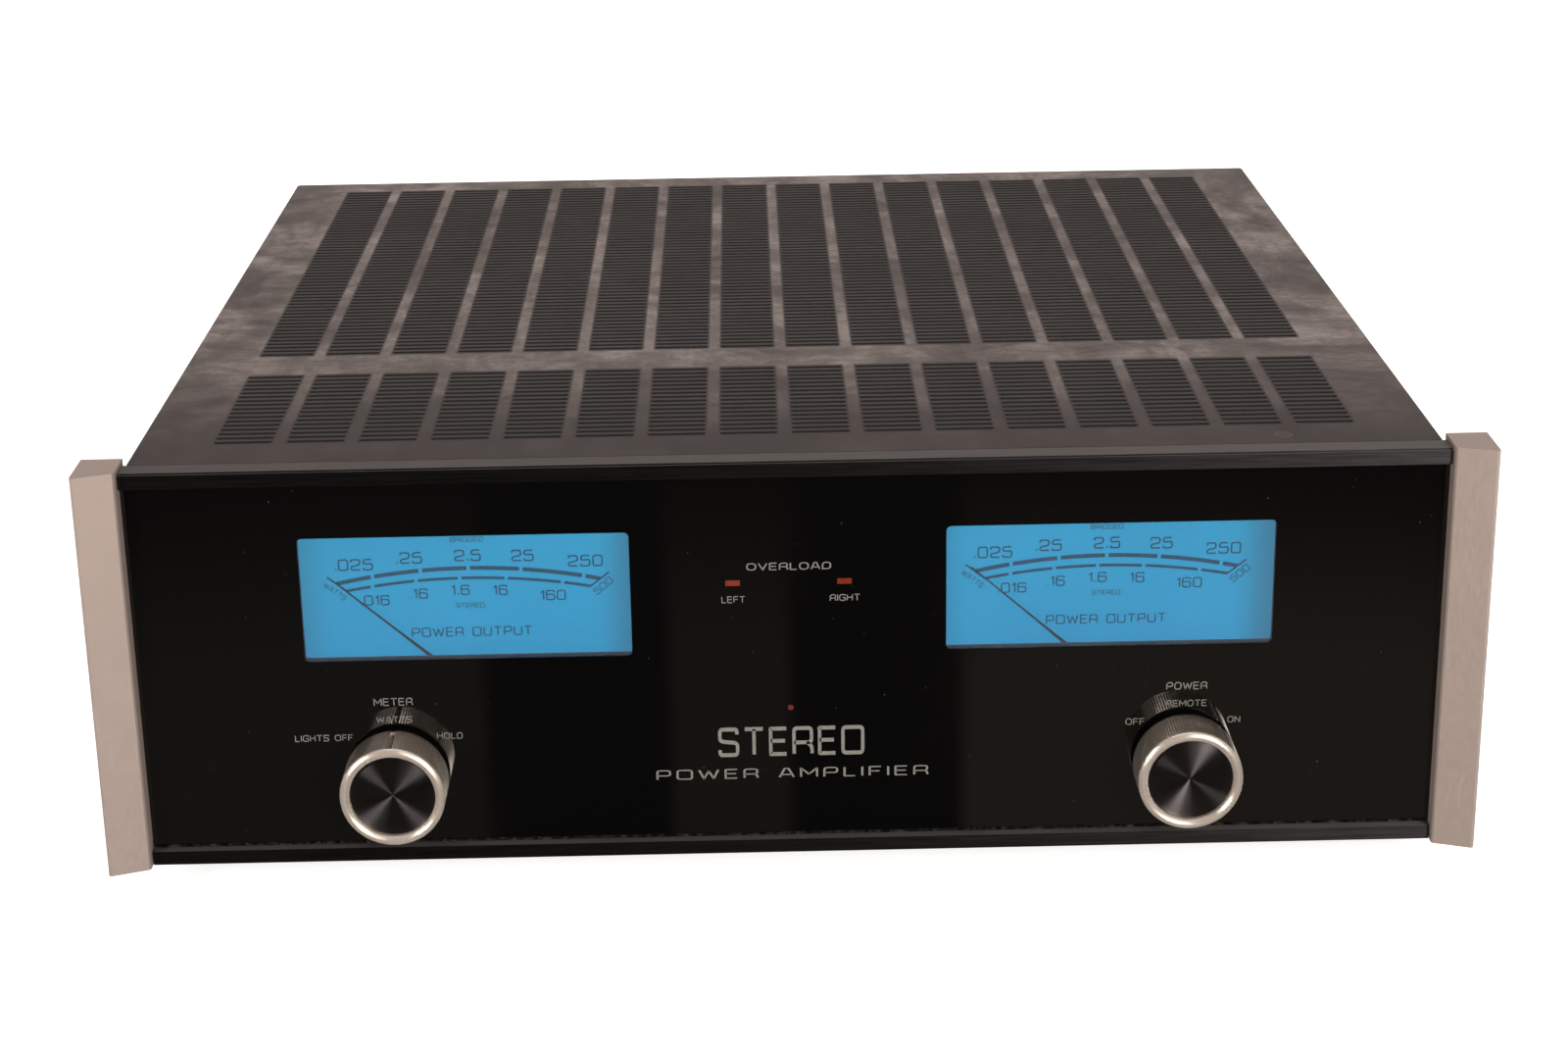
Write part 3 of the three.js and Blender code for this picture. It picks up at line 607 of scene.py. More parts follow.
def wall(bm, first, second, mark=0):
    """Faces between two rings of bmesh vertices."""
    for i in range(len(first)):
        j = (i + 1) % len(first)
        bm.faces.new((first[i], first[j], second[j], second[i])).material_index = mark


def arc_points(cx, cy, radius, start, turn, steps):
    """Points along an arc that starts at start degrees and runs through turn degrees."""
    angles = [math.radians(start + turn * i / steps) for i in range(steps + 1)]
    return [(cx + radius * math.cos(a), cy + radius * math.sin(a)) for a in angles]


def circle(x, z, radius, sides):
    return arc_points(x, z, radius, 0, 360, sides)[:-1]


def rounded_outline(x0, x1, z0, z1, radius, steps=4):
    """A rounded rectangle's [x, z] points, counterclockwise from its right bottom corner."""
    corners = [(x1 - radius, z0 + radius, -90), (x1 - radius, z1 - radius, 0),
               (x0 + radius, z1 - radius, 90), (x0 + radius, z0 + radius, 180)]
    return [p for cx, cz, start in corners for p in arc_points(cx, cz, radius, start, 90, steps)]


def bridge(first, second, count):
    """Quads between two closed rings of vertex numbers."""
    return [
        (first + i, first + (i + 1) % count, second + (i + 1) % count, second + i)
        for i in range(count)
    ]


def lids(first, second, count):
    """The two end faces of a body between two closed rings of vertex numbers."""
    return [tuple(first + i for i in range(count)),
            tuple(second + i for i in reversed(range(count)))]


def turned(name, centre, profile, looks, body, segments=64, flutes=None, face_looks=None,
           notch=None):
    """A body turned about the Y axis through centre (x, z) in mm, from (radius, y, depth) rows.

    depth is how far the flutes cut into that row, with flutes (count) of them around; notch
    is (degrees clockwise, half width in degrees, depth) of a groove in the fluted rows.
    """
    count = 2 * flutes if flutes else segments
    verts = []
    for row in profile:
        radius, y, cut = (*row, 0.0)[:3]
        for i in range(count):
            turn = 360.0 * i / count
            r = radius - (cut if i % 2 else 0.0)
            if notch and cut and abs((turn - notch[0] + 180) % 360 - 180) <= notch[1]:
                r = radius - notch[2]
            angle = math.radians(turn)
            verts.append(at(centre[0] + r * math.sin(angle), y, centre[1] + r * math.cos(angle)))
    row_looks = face_looks or [0] * (len(profile) - 1)
    faces, marks = [], []
    for k, mark in enumerate(row_looks):
        faces += bridge(k * count, (k + 1) * count, count)
        marks += [mark] * count
    faces += lids(0, (len(profile) - 1) * count, count)
    marks += [row_looks[0], row_looks[-1]]
    middle = at(centre[0], (profile[0][1] + profile[-1][1]) / 2, centre[1])
    obj = piece(name, verts, faces, looks, body, marks, origin=middle)
    fix_normals(obj)
    return obj


# ---- front glass


def build_glass():
    """The glass sheet with its two clear windows: black outside them, and inside them walls
    coloured dark blue as painted light from the meter's plate.
    """
    bm = bmesh.new()
    outer = rounded_outline(-GLASS_HALF, GLASS_HALF, GLASS_LOW, GLASS_HIGH, 0.8, 2)
    windows = [
        rounded_outline(x - WINDOW_HALF, x + WINDOW_HALF, WINDOW_LOW, WINDOW_HIGH, WINDOW_CORNER)
        for _, x in METERS
    ]
    holes = [circle(x, KNOB_Z, SHAFT_HOLE, 24) for x in (-KNOB_X, KNOB_X)]
    faces_at = []
    for y in (GLASS_FRONT, GLASS_BACK):
        edges, rings = [], []
        for loop in (outer, *windows, *holes):
            rings.append([bm.verts.new(at(x, y, z)) for x, z in loop])
            edges += loop_edges(bm, rings[-1])
        bmesh.ops.triangle_fill(bm, use_beauty=True, edges=edges)
        faces_at.append(rings)
    for front, back, mark in zip(*faces_at, (0, 1, 1, 0, 0)):
        wall(bm, front, back, mark)
    points, faces, marks = harvest(bm)
    sheet = piece("glass_sheet", points, faces, ["glass", "window_wall_painted_light"],
                  face_looks=marks, smooth=None)
    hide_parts("front_glass")


def build_panes():
    """A clear pane in each window, a hair smaller than its walls."""
    half, low, high = WINDOW_HALF - HAIR, WINDOW_LOW + HAIR, WINDOW_HIGH - HAIR
    for side, x in METERS:
        outline = rounded_outline(x - half, x + half, low, high, WINDOW_CORNER)
        count = len(outline)
        verts = [at(px, y, pz) for y in (GLASS_FRONT + HAIR, GLASS_FRONT + PANE_DEPTH)
                 for px, pz in outline]
        faces = lids(0, count, count) + bridge(0, count, count)
        marks = [0, 0] + [1] * count
        pane = piece(f"window_pane_{side}", verts, faces, ["pane", "window_wall_painted_light"],
                     smooth=None, face_looks=marks)
        fix_normals(pane)


# ---- lettering


# Stroke letters one unit high: each is its width, then its lines; "close" closes a line.
GLYPHS = {
    "0": (0.82, [(0, 0), (0.82, 0), (0.82, 1), (0, 1), "close"]),
    "1": (0.26, [(0, 0.76), (0.26, 1), (0.26, 0)]),
    "2": (0.8, [(0, 0.74), (0, 1), (0.8, 1), (0.8, 0.5), (0, 0.34), (0, 0), (0.82, 0)]),
    "5": (0.8, [(0.78, 1), (0.04, 1), (0, 0.55), (0.8, 0.62), (0.8, 0), (0, 0), (0, 0.22)]),
    "6": (0.8, [(0.78, 0.8), (0.78, 1), (0, 1), (0, 0), (0.8, 0), (0.8, 0.58), (0, 0.58)]),
    ".": (0.06, [(-0.03, 0.07), (0.15, 0.07)]),
    "A": (0.86, [(0, 0), (0.32, 1), (0.54, 1), (0.86, 0)], [(0.11, 0.3), (0.75, 0.3)]),
    "B": (0.8, [(0, 0), (0, 1), (0.78, 1), (0.78, 0.52), (0, 0.52)],
                [(0.7, 0.52), (0.8, 0.52), (0.8, 0), (0, 0)]),
    "D": (0.8, [(0, 0), (0, 1), (0.8, 1), (0.8, 0), (0, 0)]),
    "C": (0.8, [(0.8, 0.8), (0.8, 1), (0, 1), (0, 0), (0.8, 0), (0.8, 0.2)]),
    "E": (0.7, [(0.7, 1), (0, 1), (0, 0), (0.7, 0)], [(0, 0.52), (0.64, 0.52)]),
    "F": (0.68, [(0.68, 1), (0, 1), (0, 0)], [(0, 0.5), (0.6, 0.5)]),
    "G": (0.84, [(0.82, 0.8), (0.82, 1), (0, 1), (0, 0), (0.84, 0), (0.84, 0.5), (0.46, 0.5)]),
    "H": (0.8, [(0, 0), (0, 1)], [(0.8, 0), (0.8, 1)], [(0, 0.52), (0.8, 0.52)]),
    "I": (0.0, [(0, 0), (0, 1)]),
    "L": (0.64, [(0, 1), (0, 0), (0.64, 0)]),
    "M": (0.98, [(0, 0), (0, 1), (0.49, 0.3), (0.98, 1), (0.98, 0)]),
    "N": (0.82, [(0, 0), (0, 1), (0.82, 0), (0.82, 1)]),
    "O": (0.88, [(0, 0), (0.88, 0), (0.88, 1), (0, 1), "close"]),
    "P": (0.78, [(0, 0), (0, 1), (0.78, 1), (0.78, 0.42), (0, 0.42)]),
    "R": (0.8, [(0, 0), (0, 1), (0.78, 1), (0.78, 0.44), (0, 0.44)],
                [(0.56, 0.44), (0.8, 0.3), (0.8, 0)]),
    "S": (0.78, [(0.76, 0.8), (0.76, 1), (0, 1), (0, 0.54), (0.78, 0.46), (0.78, 0), (0, 0),
                  (0, 0.2)]),
    "T": (0.8, [(0, 1), (0.8, 1)], [(0.4, 1), (0.4, 0)]),
    "U": (0.8, [(0, 1), (0, 0), (0.8, 0), (0.8, 1)]),
    "V": (0.84, [(0, 1), (0.42, 0), (0.84, 1)]),
    "W": (1.16, [(0, 1), (0.28, 0), (0.58, 0.86), (0.88, 0), (1.16, 1)]),
    "+": (0.7, [(0, 0.45), (0.7, 0.45)], [(0.35, 0.1), (0.35, 0.8)]),
    "-": (0.7, [(0, 0.45), (0.7, 0.45)]),
    " ": (0.45,),
}
SHARP = set("AMTILEFWHNV1+-")


def rounded_line(points, radius, steps=3):
    """An open or closed line with each inner corner rounded."""
    closed = points[-1] == "close"
    line = [Vector(p) for p in (points[:-1] if closed else points)]
    count = len(line)
    result = []
    for i, corner in enumerate(line):
        if not closed and i in (0, count - 1):
            result.append(corner)
            continue
        before, after = line[i - 1], line[(i + 1) % count]
        reach = min(radius, 0.49 * (before - corner).length, 0.49 * (after - corner).length)
        start = corner + (before - corner).normalized() * reach
        end = corner + (after - corner).normalized() * reach
        for k in range(steps + 1):
            t = k / steps
            result.append(start * (1 - t) ** 2 + corner * 2 * t * (1 - t) + end * t * t)
    if closed:
        result.append(result[0].copy())
    return result


def ribbon(line, width):
    """Left and right edges of a stroke along a line."""
    pairs = []
    count = len(line)
    loop = (line[0] - line[-1]).length < 1e-9
    for i, point in enumerate(line):
        before = line[i - 1] if i else (line[-2] if loop else None)
        after = line[i + 1] if i + 1 < count else (line[1] if loop else None)
        ways = [(b - a).normalized() for a, b in ((before, point), (point, after))
                if a is not None and b is not None]
        way = sum(ways, Vector((0, 0))).normalized()
        side = Vector((-way.y, way.x))
        lean = max(0.35, side.dot(Vector((-ways[0].y, ways[0].x))))
        pairs.append((point + side * width / 2 / lean, point - side * width / 2 / lean))
    return pairs


def stroke_text(text, height, weight, gap, corner):
    """Ribbons of a text, as lists of point pairs in mm centred on the origin."""
    pen = 0.0
    ribbons = []
    for letter in text:
        width, *lines = GLYPHS[letter]
        radius = 0.02 if letter in SHARP else corner
        for points in lines:
            line = rounded_line(points, radius)
            ribbons.append([tuple((q + Vector((pen, 0))) for q in pair)
                            for pair in ribbon(line, weight)])
        pen += width + gap
    total = pen - gap
    shift = Vector((total / 2, 0.5))
    return [[tuple((q - shift) * height for q in pair) for pair in strip] for strip in ribbons]


class Print:
    """Collects flat printed strokes on one plane into a single mesh; it reads from the front,
    or from the back with sense -1."""

    def __init__(self, y, sense=1):
        self.y = y
        self.sense = sense
        self.verts = []
        self.faces = []

    def strip(self, pairs, x=0.0, z=0.0, turn=0.0):
        spin = Matrix.Rotation(math.radians(turn), 2)
        start = len(self.verts)
        for pair in pairs:
            for q in pair:
                p = spin @ q
                self.verts.append(at(x + self.sense * p.x, self.y, z + p.y))
        for i in range(len(pairs) - 1):
            k = start + 2 * i
            self.faces.append((k, k + 1, k + 3, k + 2))

    def text(self, text, x, z, height, weight=0.12, turn=0.0, gap=0.32, width=None, corner=0.2):
        strips = stroke_text(text, height, weight, gap, corner)
        if width:
            reach = max(q.x for strip in strips for pair in strip for q in pair)
            factor = width / 2 / reach
            strips = [[tuple(Vector((q.x * factor, q.y)) for q in pair) for pair in strip]
                      for strip in strips]
        for strip in strips:
            self.strip(strip, x, z, turn)

    def arc(self, centre, radius, x0, x1, width, steps=24):
        """An arc of a circle between two x positions, above its centre."""
        start, end = (math.asin((x - centre[0]) / radius) for x in (x0, x1))
        line = []
        for i in range(steps + 1):
            angle = start + (end - start) * i / steps
            way = Vector((math.sin(angle), math.cos(angle)))
            middle = Vector(centre) + way * radius
            line.append((middle + way * width / 2, middle - way * width / 2))
        self.strip(line)

    def make(self, name, look_key):
        piece(name, self.verts, self.faces, [look_key], smooth=None)


# ---- meters

# Scale numbers: text, x from the meter's centre and z.
UPPER_NUMBERS = [(".025", -36.6, 97.9), (".25", -18.7, 99.9), ("2.5", 0.1, 100.4),
                 ("25", 17.7, 100.0), ("250", 37.8, 97.8)]
LOWER_NUMBERS = [(".016", -30.4, 85.6), (".16", -16.2, 87.6), ("1.6", -2.7, 88.6),
                 ("16", 10.1, 88.3), ("160", 27.0, 86.2)]
# Text, x, z, height, weight, turn in degrees and width.
SCALE_WORDS = [
    ("500", 43.2, 89.1, 2.25, 0.16, 40, None), ("WATTS", -43.1, 88.9, 1.7, 0.16, -38, 8.4),
    ("BRIDGED", 0.0, 105.9, 1.5, 0.17, 0, 10.6), ("STEREO", 0.2, 83.3, 1.5, 0.17, 0, 9.2),
    ("POWER OUTPUT", 0.3, 74.2, 2.85, 0.15, 0, 38.6),
]
# Arcs: centre, radius, ends, the gaps in them and width.
OUTER_ARC = ((0.2, -103.9), 200.0, (-42.4, 42.4), (-30.7, -15.3, 0.1, 17.0, 37.1), 1.4)
INNER_ARC = ((0.2, -118.4), 211.1, (-39.2, 39.2), (-30.9, -16.8, -2.8, 12.1, 30.2), 1.0)


# The needle at rest: distances along it with half widths, and its hub's radii with their y.
NEEDLE_ROWS = [(-6.0, 1.0), (0.0, 0.9), (NEEDLE_LENGTH * 0.5, 0.32), (NEEDLE_LENGTH, 0.16)]
NEEDLE_HUB = [(0.4, 11.5), (2.2, 11.6), (2.3, 11.8), (2.3, 13.2), (2.1, 13.4), (0.4, 13.4)]


def print_arc(sheet, centre_x, arc):
    (cx, cz), radius, (first, last), gaps, width = arc
    starts = [first, *(g + 0.55 for g in gaps)]
    ends = [*(g - 0.55 for g in gaps), last]
    for x0, x1 in zip(starts, ends):
        sheet.arc((centre_x + cx, cz), radius, centre_x + x0, centre_x + x1, width, 10)


def build_scale_print(side, x):
    sheet = Print(SCALE_FRONT - 0.06)
    print_arc(sheet, x, OUTER_ARC)
    print_arc(sheet, x, INNER_ARC)
    for sign in (-1, 1):
        line = [Vector((x + sign * 39.0, 88.9)), Vector((x + sign * 45.3, 93.8))]
        sheet.strip(ribbon(line, 0.6))
    for height, numbers in ((3.5, UPPER_NUMBERS), (3.1, LOWER_NUMBERS)):
        for text, dx, z in numbers:
            sheet.text(text, x + dx, z, height, 0.15)
    for text, dx, z, height, weight, turn, width in SCALE_WORDS:
        sheet.text(text, x + dx, z, height, weight, turn, width=width)
    sheet.make(f"scale_print_{side}", "print")


def build_needle(side, x):
    """A thin flat pointer that tapers from its hub to its tip, leaning left at rest."""
    lean = math.radians(NEEDLE_REST)
    way = Vector((math.sin(lean), math.cos(lean)))
    across = Vector((way.y, -way.x))
    count = len(NEEDLE_ROWS)
    points = [way * along + across * half * sign for along, half in NEEDLE_ROWS
              for sign in (-1, 1)]
    verts = [at(x + q.x, y, NEEDLE_Z + q.y) for y in NEEDLE_Y for q in points]
    ring = [2 * i for i in range(count)] + [2 * i + 1 for i in reversed(range(count))]
    back = [i + 2 * count for i in ring]
    faces = [tuple(ring), tuple(reversed(back))]
    faces += [(ring[i - 1], ring[i], back[i], back[i - 1]) for i in range(len(ring))]
    body = f"{side}_needle"
    pointer = piece(f"needle_blade_{side}", verts, faces, ["needle"], body)
    fix_normals(pointer)
    hub = turned(f"needle_hub_{side}", (x, NEEDLE_Z), NEEDLE_HUB, ["needle"], body,
                 segments=32)
    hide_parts(f"meter_{side}_needle")
    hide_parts(f"meter_{side}_needle")


def build_meters():
    for side, x in METERS:
        build_scale_print(side, x)
        build_needle(side, x)


# ---- selectors

# Turned profiles, mm: radius, y and the depth the flutes cut. The rim's rows start at its inner
# foot, cross the crest and end at its outer edge.
KNOB_RIM = [(13.7, -12.6), (13.72, -14.5), (13.85, -14.75), (14.95, -15.45), (15.25, -15.56),
            (15.55, -15.5), (16.5, -14.95), (16.72, -14.7), (16.78, -14.4), (16.5, -14.2)]
KNOB_KNURL = [(16.5, -14.05), (16.88, -13.9, 0.4), (16.9, -13.75, 0.42), (16.9, -0.25, 0.42),
              (16.86, -0.1, 0.4), (16.3, 0.1)]
KNOB_HUB = [(14.5, 0.15), (14.4, 0.35), (12.0, 0.4)]
KNOB_DISC = [(0.12, -12.95), (0.7, -13.05), (13.0, -13.4), (13.45, -13.37), (13.6, -13.25),
             (13.6, -12.75)]
FLUTES = 120
NOTCH_HALF = 1.8
NOTCH_DEPTH = 1.0


def build_selector(name, x, notch_at):
    """A knob and its black disc; notch_at is where its pointer groove stands, in degrees."""
    body = f"{name}_selector"
    marks = [0] * len(KNOB_RIM) + [1] * (len(KNOB_KNURL) - 1) + [0] * len(KNOB_HUB)
    knob = turned(f"{name}_knob_turned", (x, KNOB_Z), KNOB_RIM + KNOB_KNURL + KNOB_HUB,
                  ["bright", "knurl"], body, flutes=FLUTES,
                  notch=(notch_at, NOTCH_HALF, NOTCH_DEPTH), face_looks=marks)
    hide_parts(f"{name}_selector_knob")
    insert = turned(f"{name}_knob_disc", (x, KNOB_Z), KNOB_DISC, ["spun"], body, 128)
    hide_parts(f"{name}_selector_insert")


def build_selectors():
    build_selector("meter", -KNOB_X, 0.0)
    build_selector("power", KNOB_X, 45.0)


# ---- legends on the glass

# Front legends, mm: text, x, z, width and letter height.
LEGENDS = [
    ("OVERLOAD", 0.2, 98.9, 27.0, 2.2), ("LEFT", -17.6, 87.9, 7.3, 2.0),
    ("RIGHT", 18.0, 87.9, 9.4, 2.0), ("METER", -127.8, 55.0, 12.6, 2.35),
    ("WATTS", -127.8, 48.8, 11.6, 2.0), ("LIGHTS OFF", -150.8, 42.8, 18.5, 2.0),
    ("HOLD", -110.2, 42.8, 8.3, 2.0), ("POWER", 128.2, 55.0, 13.3, 2.35),
    ("REMOTE", 128.2, 48.9, 13.0, 2.0), ("OFF", 111.75, 42.8, 6.0, 2.0),
    ("ON", 143.8, 42.9, 4.2, 2.0),
]


def build_legends():
    sheet = Print(GLASS_FRONT - 0.03)
    for text, x, z, width, height in LEGENDS:
        sheet.text(text, x, z, height, 0.15, gap=0.3, width=width, corner=0.44)
    sheet.text("STEREO", 0.2, 38.4, 9.0, 0.15, gap=0.34, width=47.4, corner=0.14)
    sheet.text("POWER AMPLIFIER", 0.4, 27.2, 3.1, 0.13, gap=0.45, width=88.6)
    sheet.make("legend_front", "legend")


def patch(name, outline, look_key):
    """A small window in the black paint, seen as a coloured patch."""
    verts = [at(x, GLASS_FRONT - HAIR, z) for x, z in outline]
    piece(name, verts, [tuple(range(len(verts)))], [look_key], smooth=None)


def build_lamps():
    for name, x in (("left", -17.7), ("right", 17.9)):
        patch(f"lamp_window_{name}", rounded_outline(x - 2.3, x + 2.3, 92.55, 94.45, 0.15, 2),
              "lamp")
    patch("sensor_window", circle(0.18, 50.2, 0.95, 18), "sensor")


# ---- trim rail

# The top rail's section, as [y, z] points with a groove near its front edge.
RAIL_SECTION = [
    (0.15, 129.6), (0, 129.75), (0, 134.3), (0.12, 134.42), (0.35, 134.42), (0.35, 133.6),
    (0.95, 133.6), (0.95, 134.68), (1.07, 134.8), (8.9, 134.8), (9.0, 134.7), (9.0, 129.6),
]
GROOVE_LOW = 133.3
GROOVE_HIGH = 134.4


def build_top_rail():
    count = len(RAIL_SECTION)
    verts = [at(x, y, z) for x in (-GLASS_HALF, GLASS_HALF) for y, z in RAIL_SECTION]
    faces = bridge(0, count, count) + lids(0, count, count)
    rail = piece("top_rail_grooved", verts, faces, ["rail", "groove"])
    fix_normals(rail)
    # The groove's faces take the near-black look: painted shade.
    for face in rail.data.polygons:
        heights = [rail.data.vertices[i].co.z for i in face.vertices]
        if min(heights) > BASE_Z + GROOVE_LOW * MM and max(heights) < BASE_Z + GROOVE_HIGH * MM:
            face.material_index = 1
    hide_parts("top_trim_rail")


# ---- cover


def cover_section():
    """The outer and inner [x, z] rows of the bent sheet, and where the slot columns are."""
    centres = [(column - (COLUMNS - 1) / 2) * COLUMN_PITCH for column in range(COLUMNS)]
    reach = SLOT_LENGTH / 2 + 1.2
    skins = []
    for depth in (0, COVER_SHEET):
        bend = COVER_BEND - depth
        left = [(-COVER_HALF + depth, COVER_LOW)]
        left += arc_points(COVER_BEND - COVER_HALF, COVER_TOP - COVER_BEND, bend, 180, -90, 4)
        top = [(x + way * reach, COVER_TOP - depth) for x in centres for way in (-1, 1)]
        skins.append(left + top + [(-x, z) for x, z in reversed(left)])
    columns = {len(left) + 2 * i: x for i, x in enumerate(centres)}
    return skins, columns


def cover_rows():
    """The y lines across the cover, and the numbers of the lines where a slot row starts."""
    lines, slots = [COVER_FRONT], set()
    for first, count in SLOT_GROUPS:
        start = first - SLOT_PITCH / 2
        slots.update(range(len(lines), len(lines) + count))
        lines += [start + row * SLOT_PITCH for row in range(count + 1)]
    lines.append(COVER_BACK)
    return lines, slots


def slot_outline(x, y):
    """A round-ended slot, as [x, y] points clockwise from its left end, seen from above."""
    radius = SLOT_WIDTH / 2
    straight = SLOT_LENGTH / 2 - radius
    return (arc_points(x - straight, y, radius, 270, -180, 4)
            + arc_points(x + straight, y, radius, 90, -180, 4))


def build_cover():
    """The slotted cover as a grid of cells in two skins, with every slot cut through."""
    skins, slot_columns = cover_section()
    lines, slot_rows = cover_rows()
    across = len(skins[0])
    verts = [at(x, y, z) for section in skins for y in lines for x, z in section]
    faces, marks = [], []

    def add(new_faces, mark):
        faces.extend(new_faces)
        marks.extend([mark] * len(new_faces))

    def corner(skin, row, k):
        return (skin * len(lines) + row) * across + k

    def cell(skin, row, k):
        return (corner(skin, row, k), corner(skin, row + 1, k),
                corner(skin, row + 1, k + 1), corner(skin, row, k + 1))

    def holed(row, k, x):
        """The slot's cell in both skins and its walls."""
        rim = slot_outline(x, (lines[row] + lines[row + 1]) / 2)
        rings = []
        for skin in (0, 1):
            ring = len(verts)
            rings.append(ring)
            verts.extend(at(px, py, COVER_TOP - skin * COVER_SHEET) for px, py in rim)
            a, b, c, d = cell(skin, row, k)
            # The rim starts at the left end's near side and turns over the far side.
            add([(a, b, *(ring + i for i in (4, 3, 2, 1, 0))),
                 (b, c, ring + 5, ring + 4),
                 (c, d, *(ring + i for i in (9, 8, 7, 6, 5))),
                 (d, a, ring, ring + 9)], skin)
        # The slot walls take the near-black look: painted shade in the slots.
        add(bridge(*rings, len(rim)), 1)

    def rim_face(row, k, next_row, next_k):
        """A face that joins the skins along one cell of the cover's edge."""
        add([(corner(0, row, k), corner(0, next_row, next_k),
              corner(1, next_row, next_k), corner(1, row, k))], 0)

    for row in range(len(lines) - 1):
        for k in range(across - 1):
            if row in slot_rows and k in slot_columns:
                holed(row, k, slot_columns[k])
                continue
            for skin in (0, 1):
                add([cell(skin, row, k)], skin)
    for row in (0, len(lines) - 1):
        for k in range(across - 1):
            rim_face(row, k, row, k + 1)
    for k in (0, across - 1):
        for row in range(len(lines) - 1):
            rim_face(row, k, row + 1, k)
    cover = piece("slotted_cover", verts, faces, ["cover", "cover_inside_painted_shade"],
                  face_looks=marks, smooth=None)
    fix_normals(cover)
    soften(cover, 30)
    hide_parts("top_cover")


# ---- screws

SCREW_SIDES = 24
# The cross recess of a screw whose head has the radius CROSS_HEAD, mm: one arm, turned about.
CROSS_HEAD = 2.4
ARM = [(-0.28, -1.15), (0.28, -1.15), (0.28, -0.28)]
CROSS = [(x * c - y * s, x * s + y * c) for c, s in ((1, 0), (0, 1), (-1, 0), (0, -1))
         for x, y in ARM]
# The directions a screw's own first and last axes take on each face; the middle one is up.
FACINGS = {"back": ((-1, 0, 0), (0, 1, 0)), "left": ((0, -1, 0), (-1, 0, 0)),
           "right": ((0, 1, 0), (1, 0, 0))}
UP = Vector((0, 0, 1))


def screw_template(radius, height):
    """A domed head with a cross recess, as points, faces and the faces' material numbers."""
    bm = bmesh.new()
    rows = [(radius, 0.0), (radius, height * 0.4), (radius * 0.86, height * 0.82),
            (radius * 0.62, height)]
    rings = [[bm.verts.new((x, y, w)) for x, y in circle(0, 0, r, SCREW_SIDES)] for r, w in rows]
    for low, high in zip(rings, rings[1:]):
        wall(bm, low, high)
    bm.faces.new(list(reversed(rings[0])))
    scale = radius / CROSS_HEAD
    cross = [bm.verts.new((u * scale, v * scale, height)) for u, v in CROSS]
    edges = loop_edges(bm, rings[-1]) + loop_edges(bm, cross)
    bmesh.ops.triangle_fill(bm, use_beauty=True, edges=edges)
    floor = [bm.verts.new((v.co.x, v.co.y, height * 0.3)) for v in cross]
    # The recess's walls and floor take the near-black look: painted shade.
    wall(bm, cross, floor, 1)
    bm.faces.new(floor).material_index = 1
    return harvest(bm)


def screws(name, facing, places, radius=2.6, height=1.3):
    """One mesh of equal screws at places, each turned by its own chance angle."""
    points, faces, marks = screw_template(radius, height)
    aside, out = (Vector(way) for way in FACINGS[facing])
    all_verts, all_faces = [], []
    for place in places:
        spin = Matrix.Rotation(random.uniform(0, math.pi / 2), 2)
        start = len(all_verts)
        for q in points:
            flat = spin @ Vector((q.x, q.y))
            all_verts.append(at(*place) + (aside * flat.x + UP * flat.y + out * q.z) * MM)
        all_faces += [tuple(start + i for i in face) for face in faces]
    piece(name, all_verts, all_faces, ["screw", "recess"],
          face_looks=marks * len(places))


def build_screws():
    for facing, x in (("left", -COVER_HALF), ("right", COVER_HALF)):
        screws(f"cover_screws_{facing}", facing, [(x, y, 11) for y in (28, 120, 212, 304, 390)])
    edge = [(x, REAR_FACE, z) for x in (-198, -99, 0, 99, 198) for z in (10, 124)]
    screws("rear_screws", "back", edge)
    flange = [(x + dx, XLR_FACE, 92 + dz) for x in (-30, 30) for dx, dz in ((-9.5, 12), (9.5, -12))]
    screws("jack_screws", "back", flange, 1.5, 0.7)


# ---- rear legends


def frame_line(sheet, x0, x1, z0, z1):
    """A thin printed box."""
    corners = [(x0, z0), (x1, z0), (x1, z1), (x0, z1), "close"]
    line = rounded_line(corners, 3.0, 6)
    sheet.strip([(Vector((sheet.sense * a.x, a.y)), Vector((sheet.sense * b.x, b.y)))
                 for a, b in ribbon(line, 0.35)])


REAR_LEGENDS = [
    ("BALANCED", 0, 114.5, 2.4), ("L", -30, 71.5, 2.8), ("R", 30, 71.5, 2.8),
    ("UNBALANCED", 0, 37.0, 2.4), ("MONO", -11.5, 59.6, 1.8), ("STEREO", 12.0, 59.6, 1.8),
    ("OUTPUT L", -97.5, 94.0, 2.6), ("OUTPUT R", 97.5, 94.0, 2.6),
    ("-", -110, 58.5, 3.2), ("+", -85, 58.5, 3.2), ("+", 85, 58.5, 3.2), ("-", 110, 58.5, 3.2),
    ("AC IN", 165, 75.5, 2.4), ("FUSE", 165, 16.0, 2.0),
]


def build_rear_legends():
    sheet = Print(REAR_FACE + 0.04, -1)
    for text, x, z, height in REAR_LEGENDS:
        sheet.text(text, x, z, height, 0.14, corner=0.4)
    for x0, x1, z0, z1 in ((-52, 52, 31, 120), (-126, -69, 53, 100), (69, 126, 53, 100)):
        frame_line(sheet, x0, x1, z0, z1)
    sheet.make("legend_rear", "white_ink")


# ---- stage, light, camera

# What the glass mirrors: softly lit stretches of a dark room, as tangents left and right.
ROOM_BANDS = [(-0.6, -0.1), (-0.031, 0.013), (0.077, 0.7)]
ROOM_EDGE = 0.004
ROOM_DARK = (0.022, 0.02, 0.019)
ROOM_LIT = (0.14, 0.118, 0.098)
ROOM_ABOVE = (0.36, 0.34, 0.33)
ROOM_LIT_RIGHT = (0.22, 0.18, 0.15)
ROOM_RIGHT = (2.0, 1.9, 1.84)
ROOM_SIDE = (0.2, 0.19, 0.18)
WARM = (1.0, 0.95, 0.9)
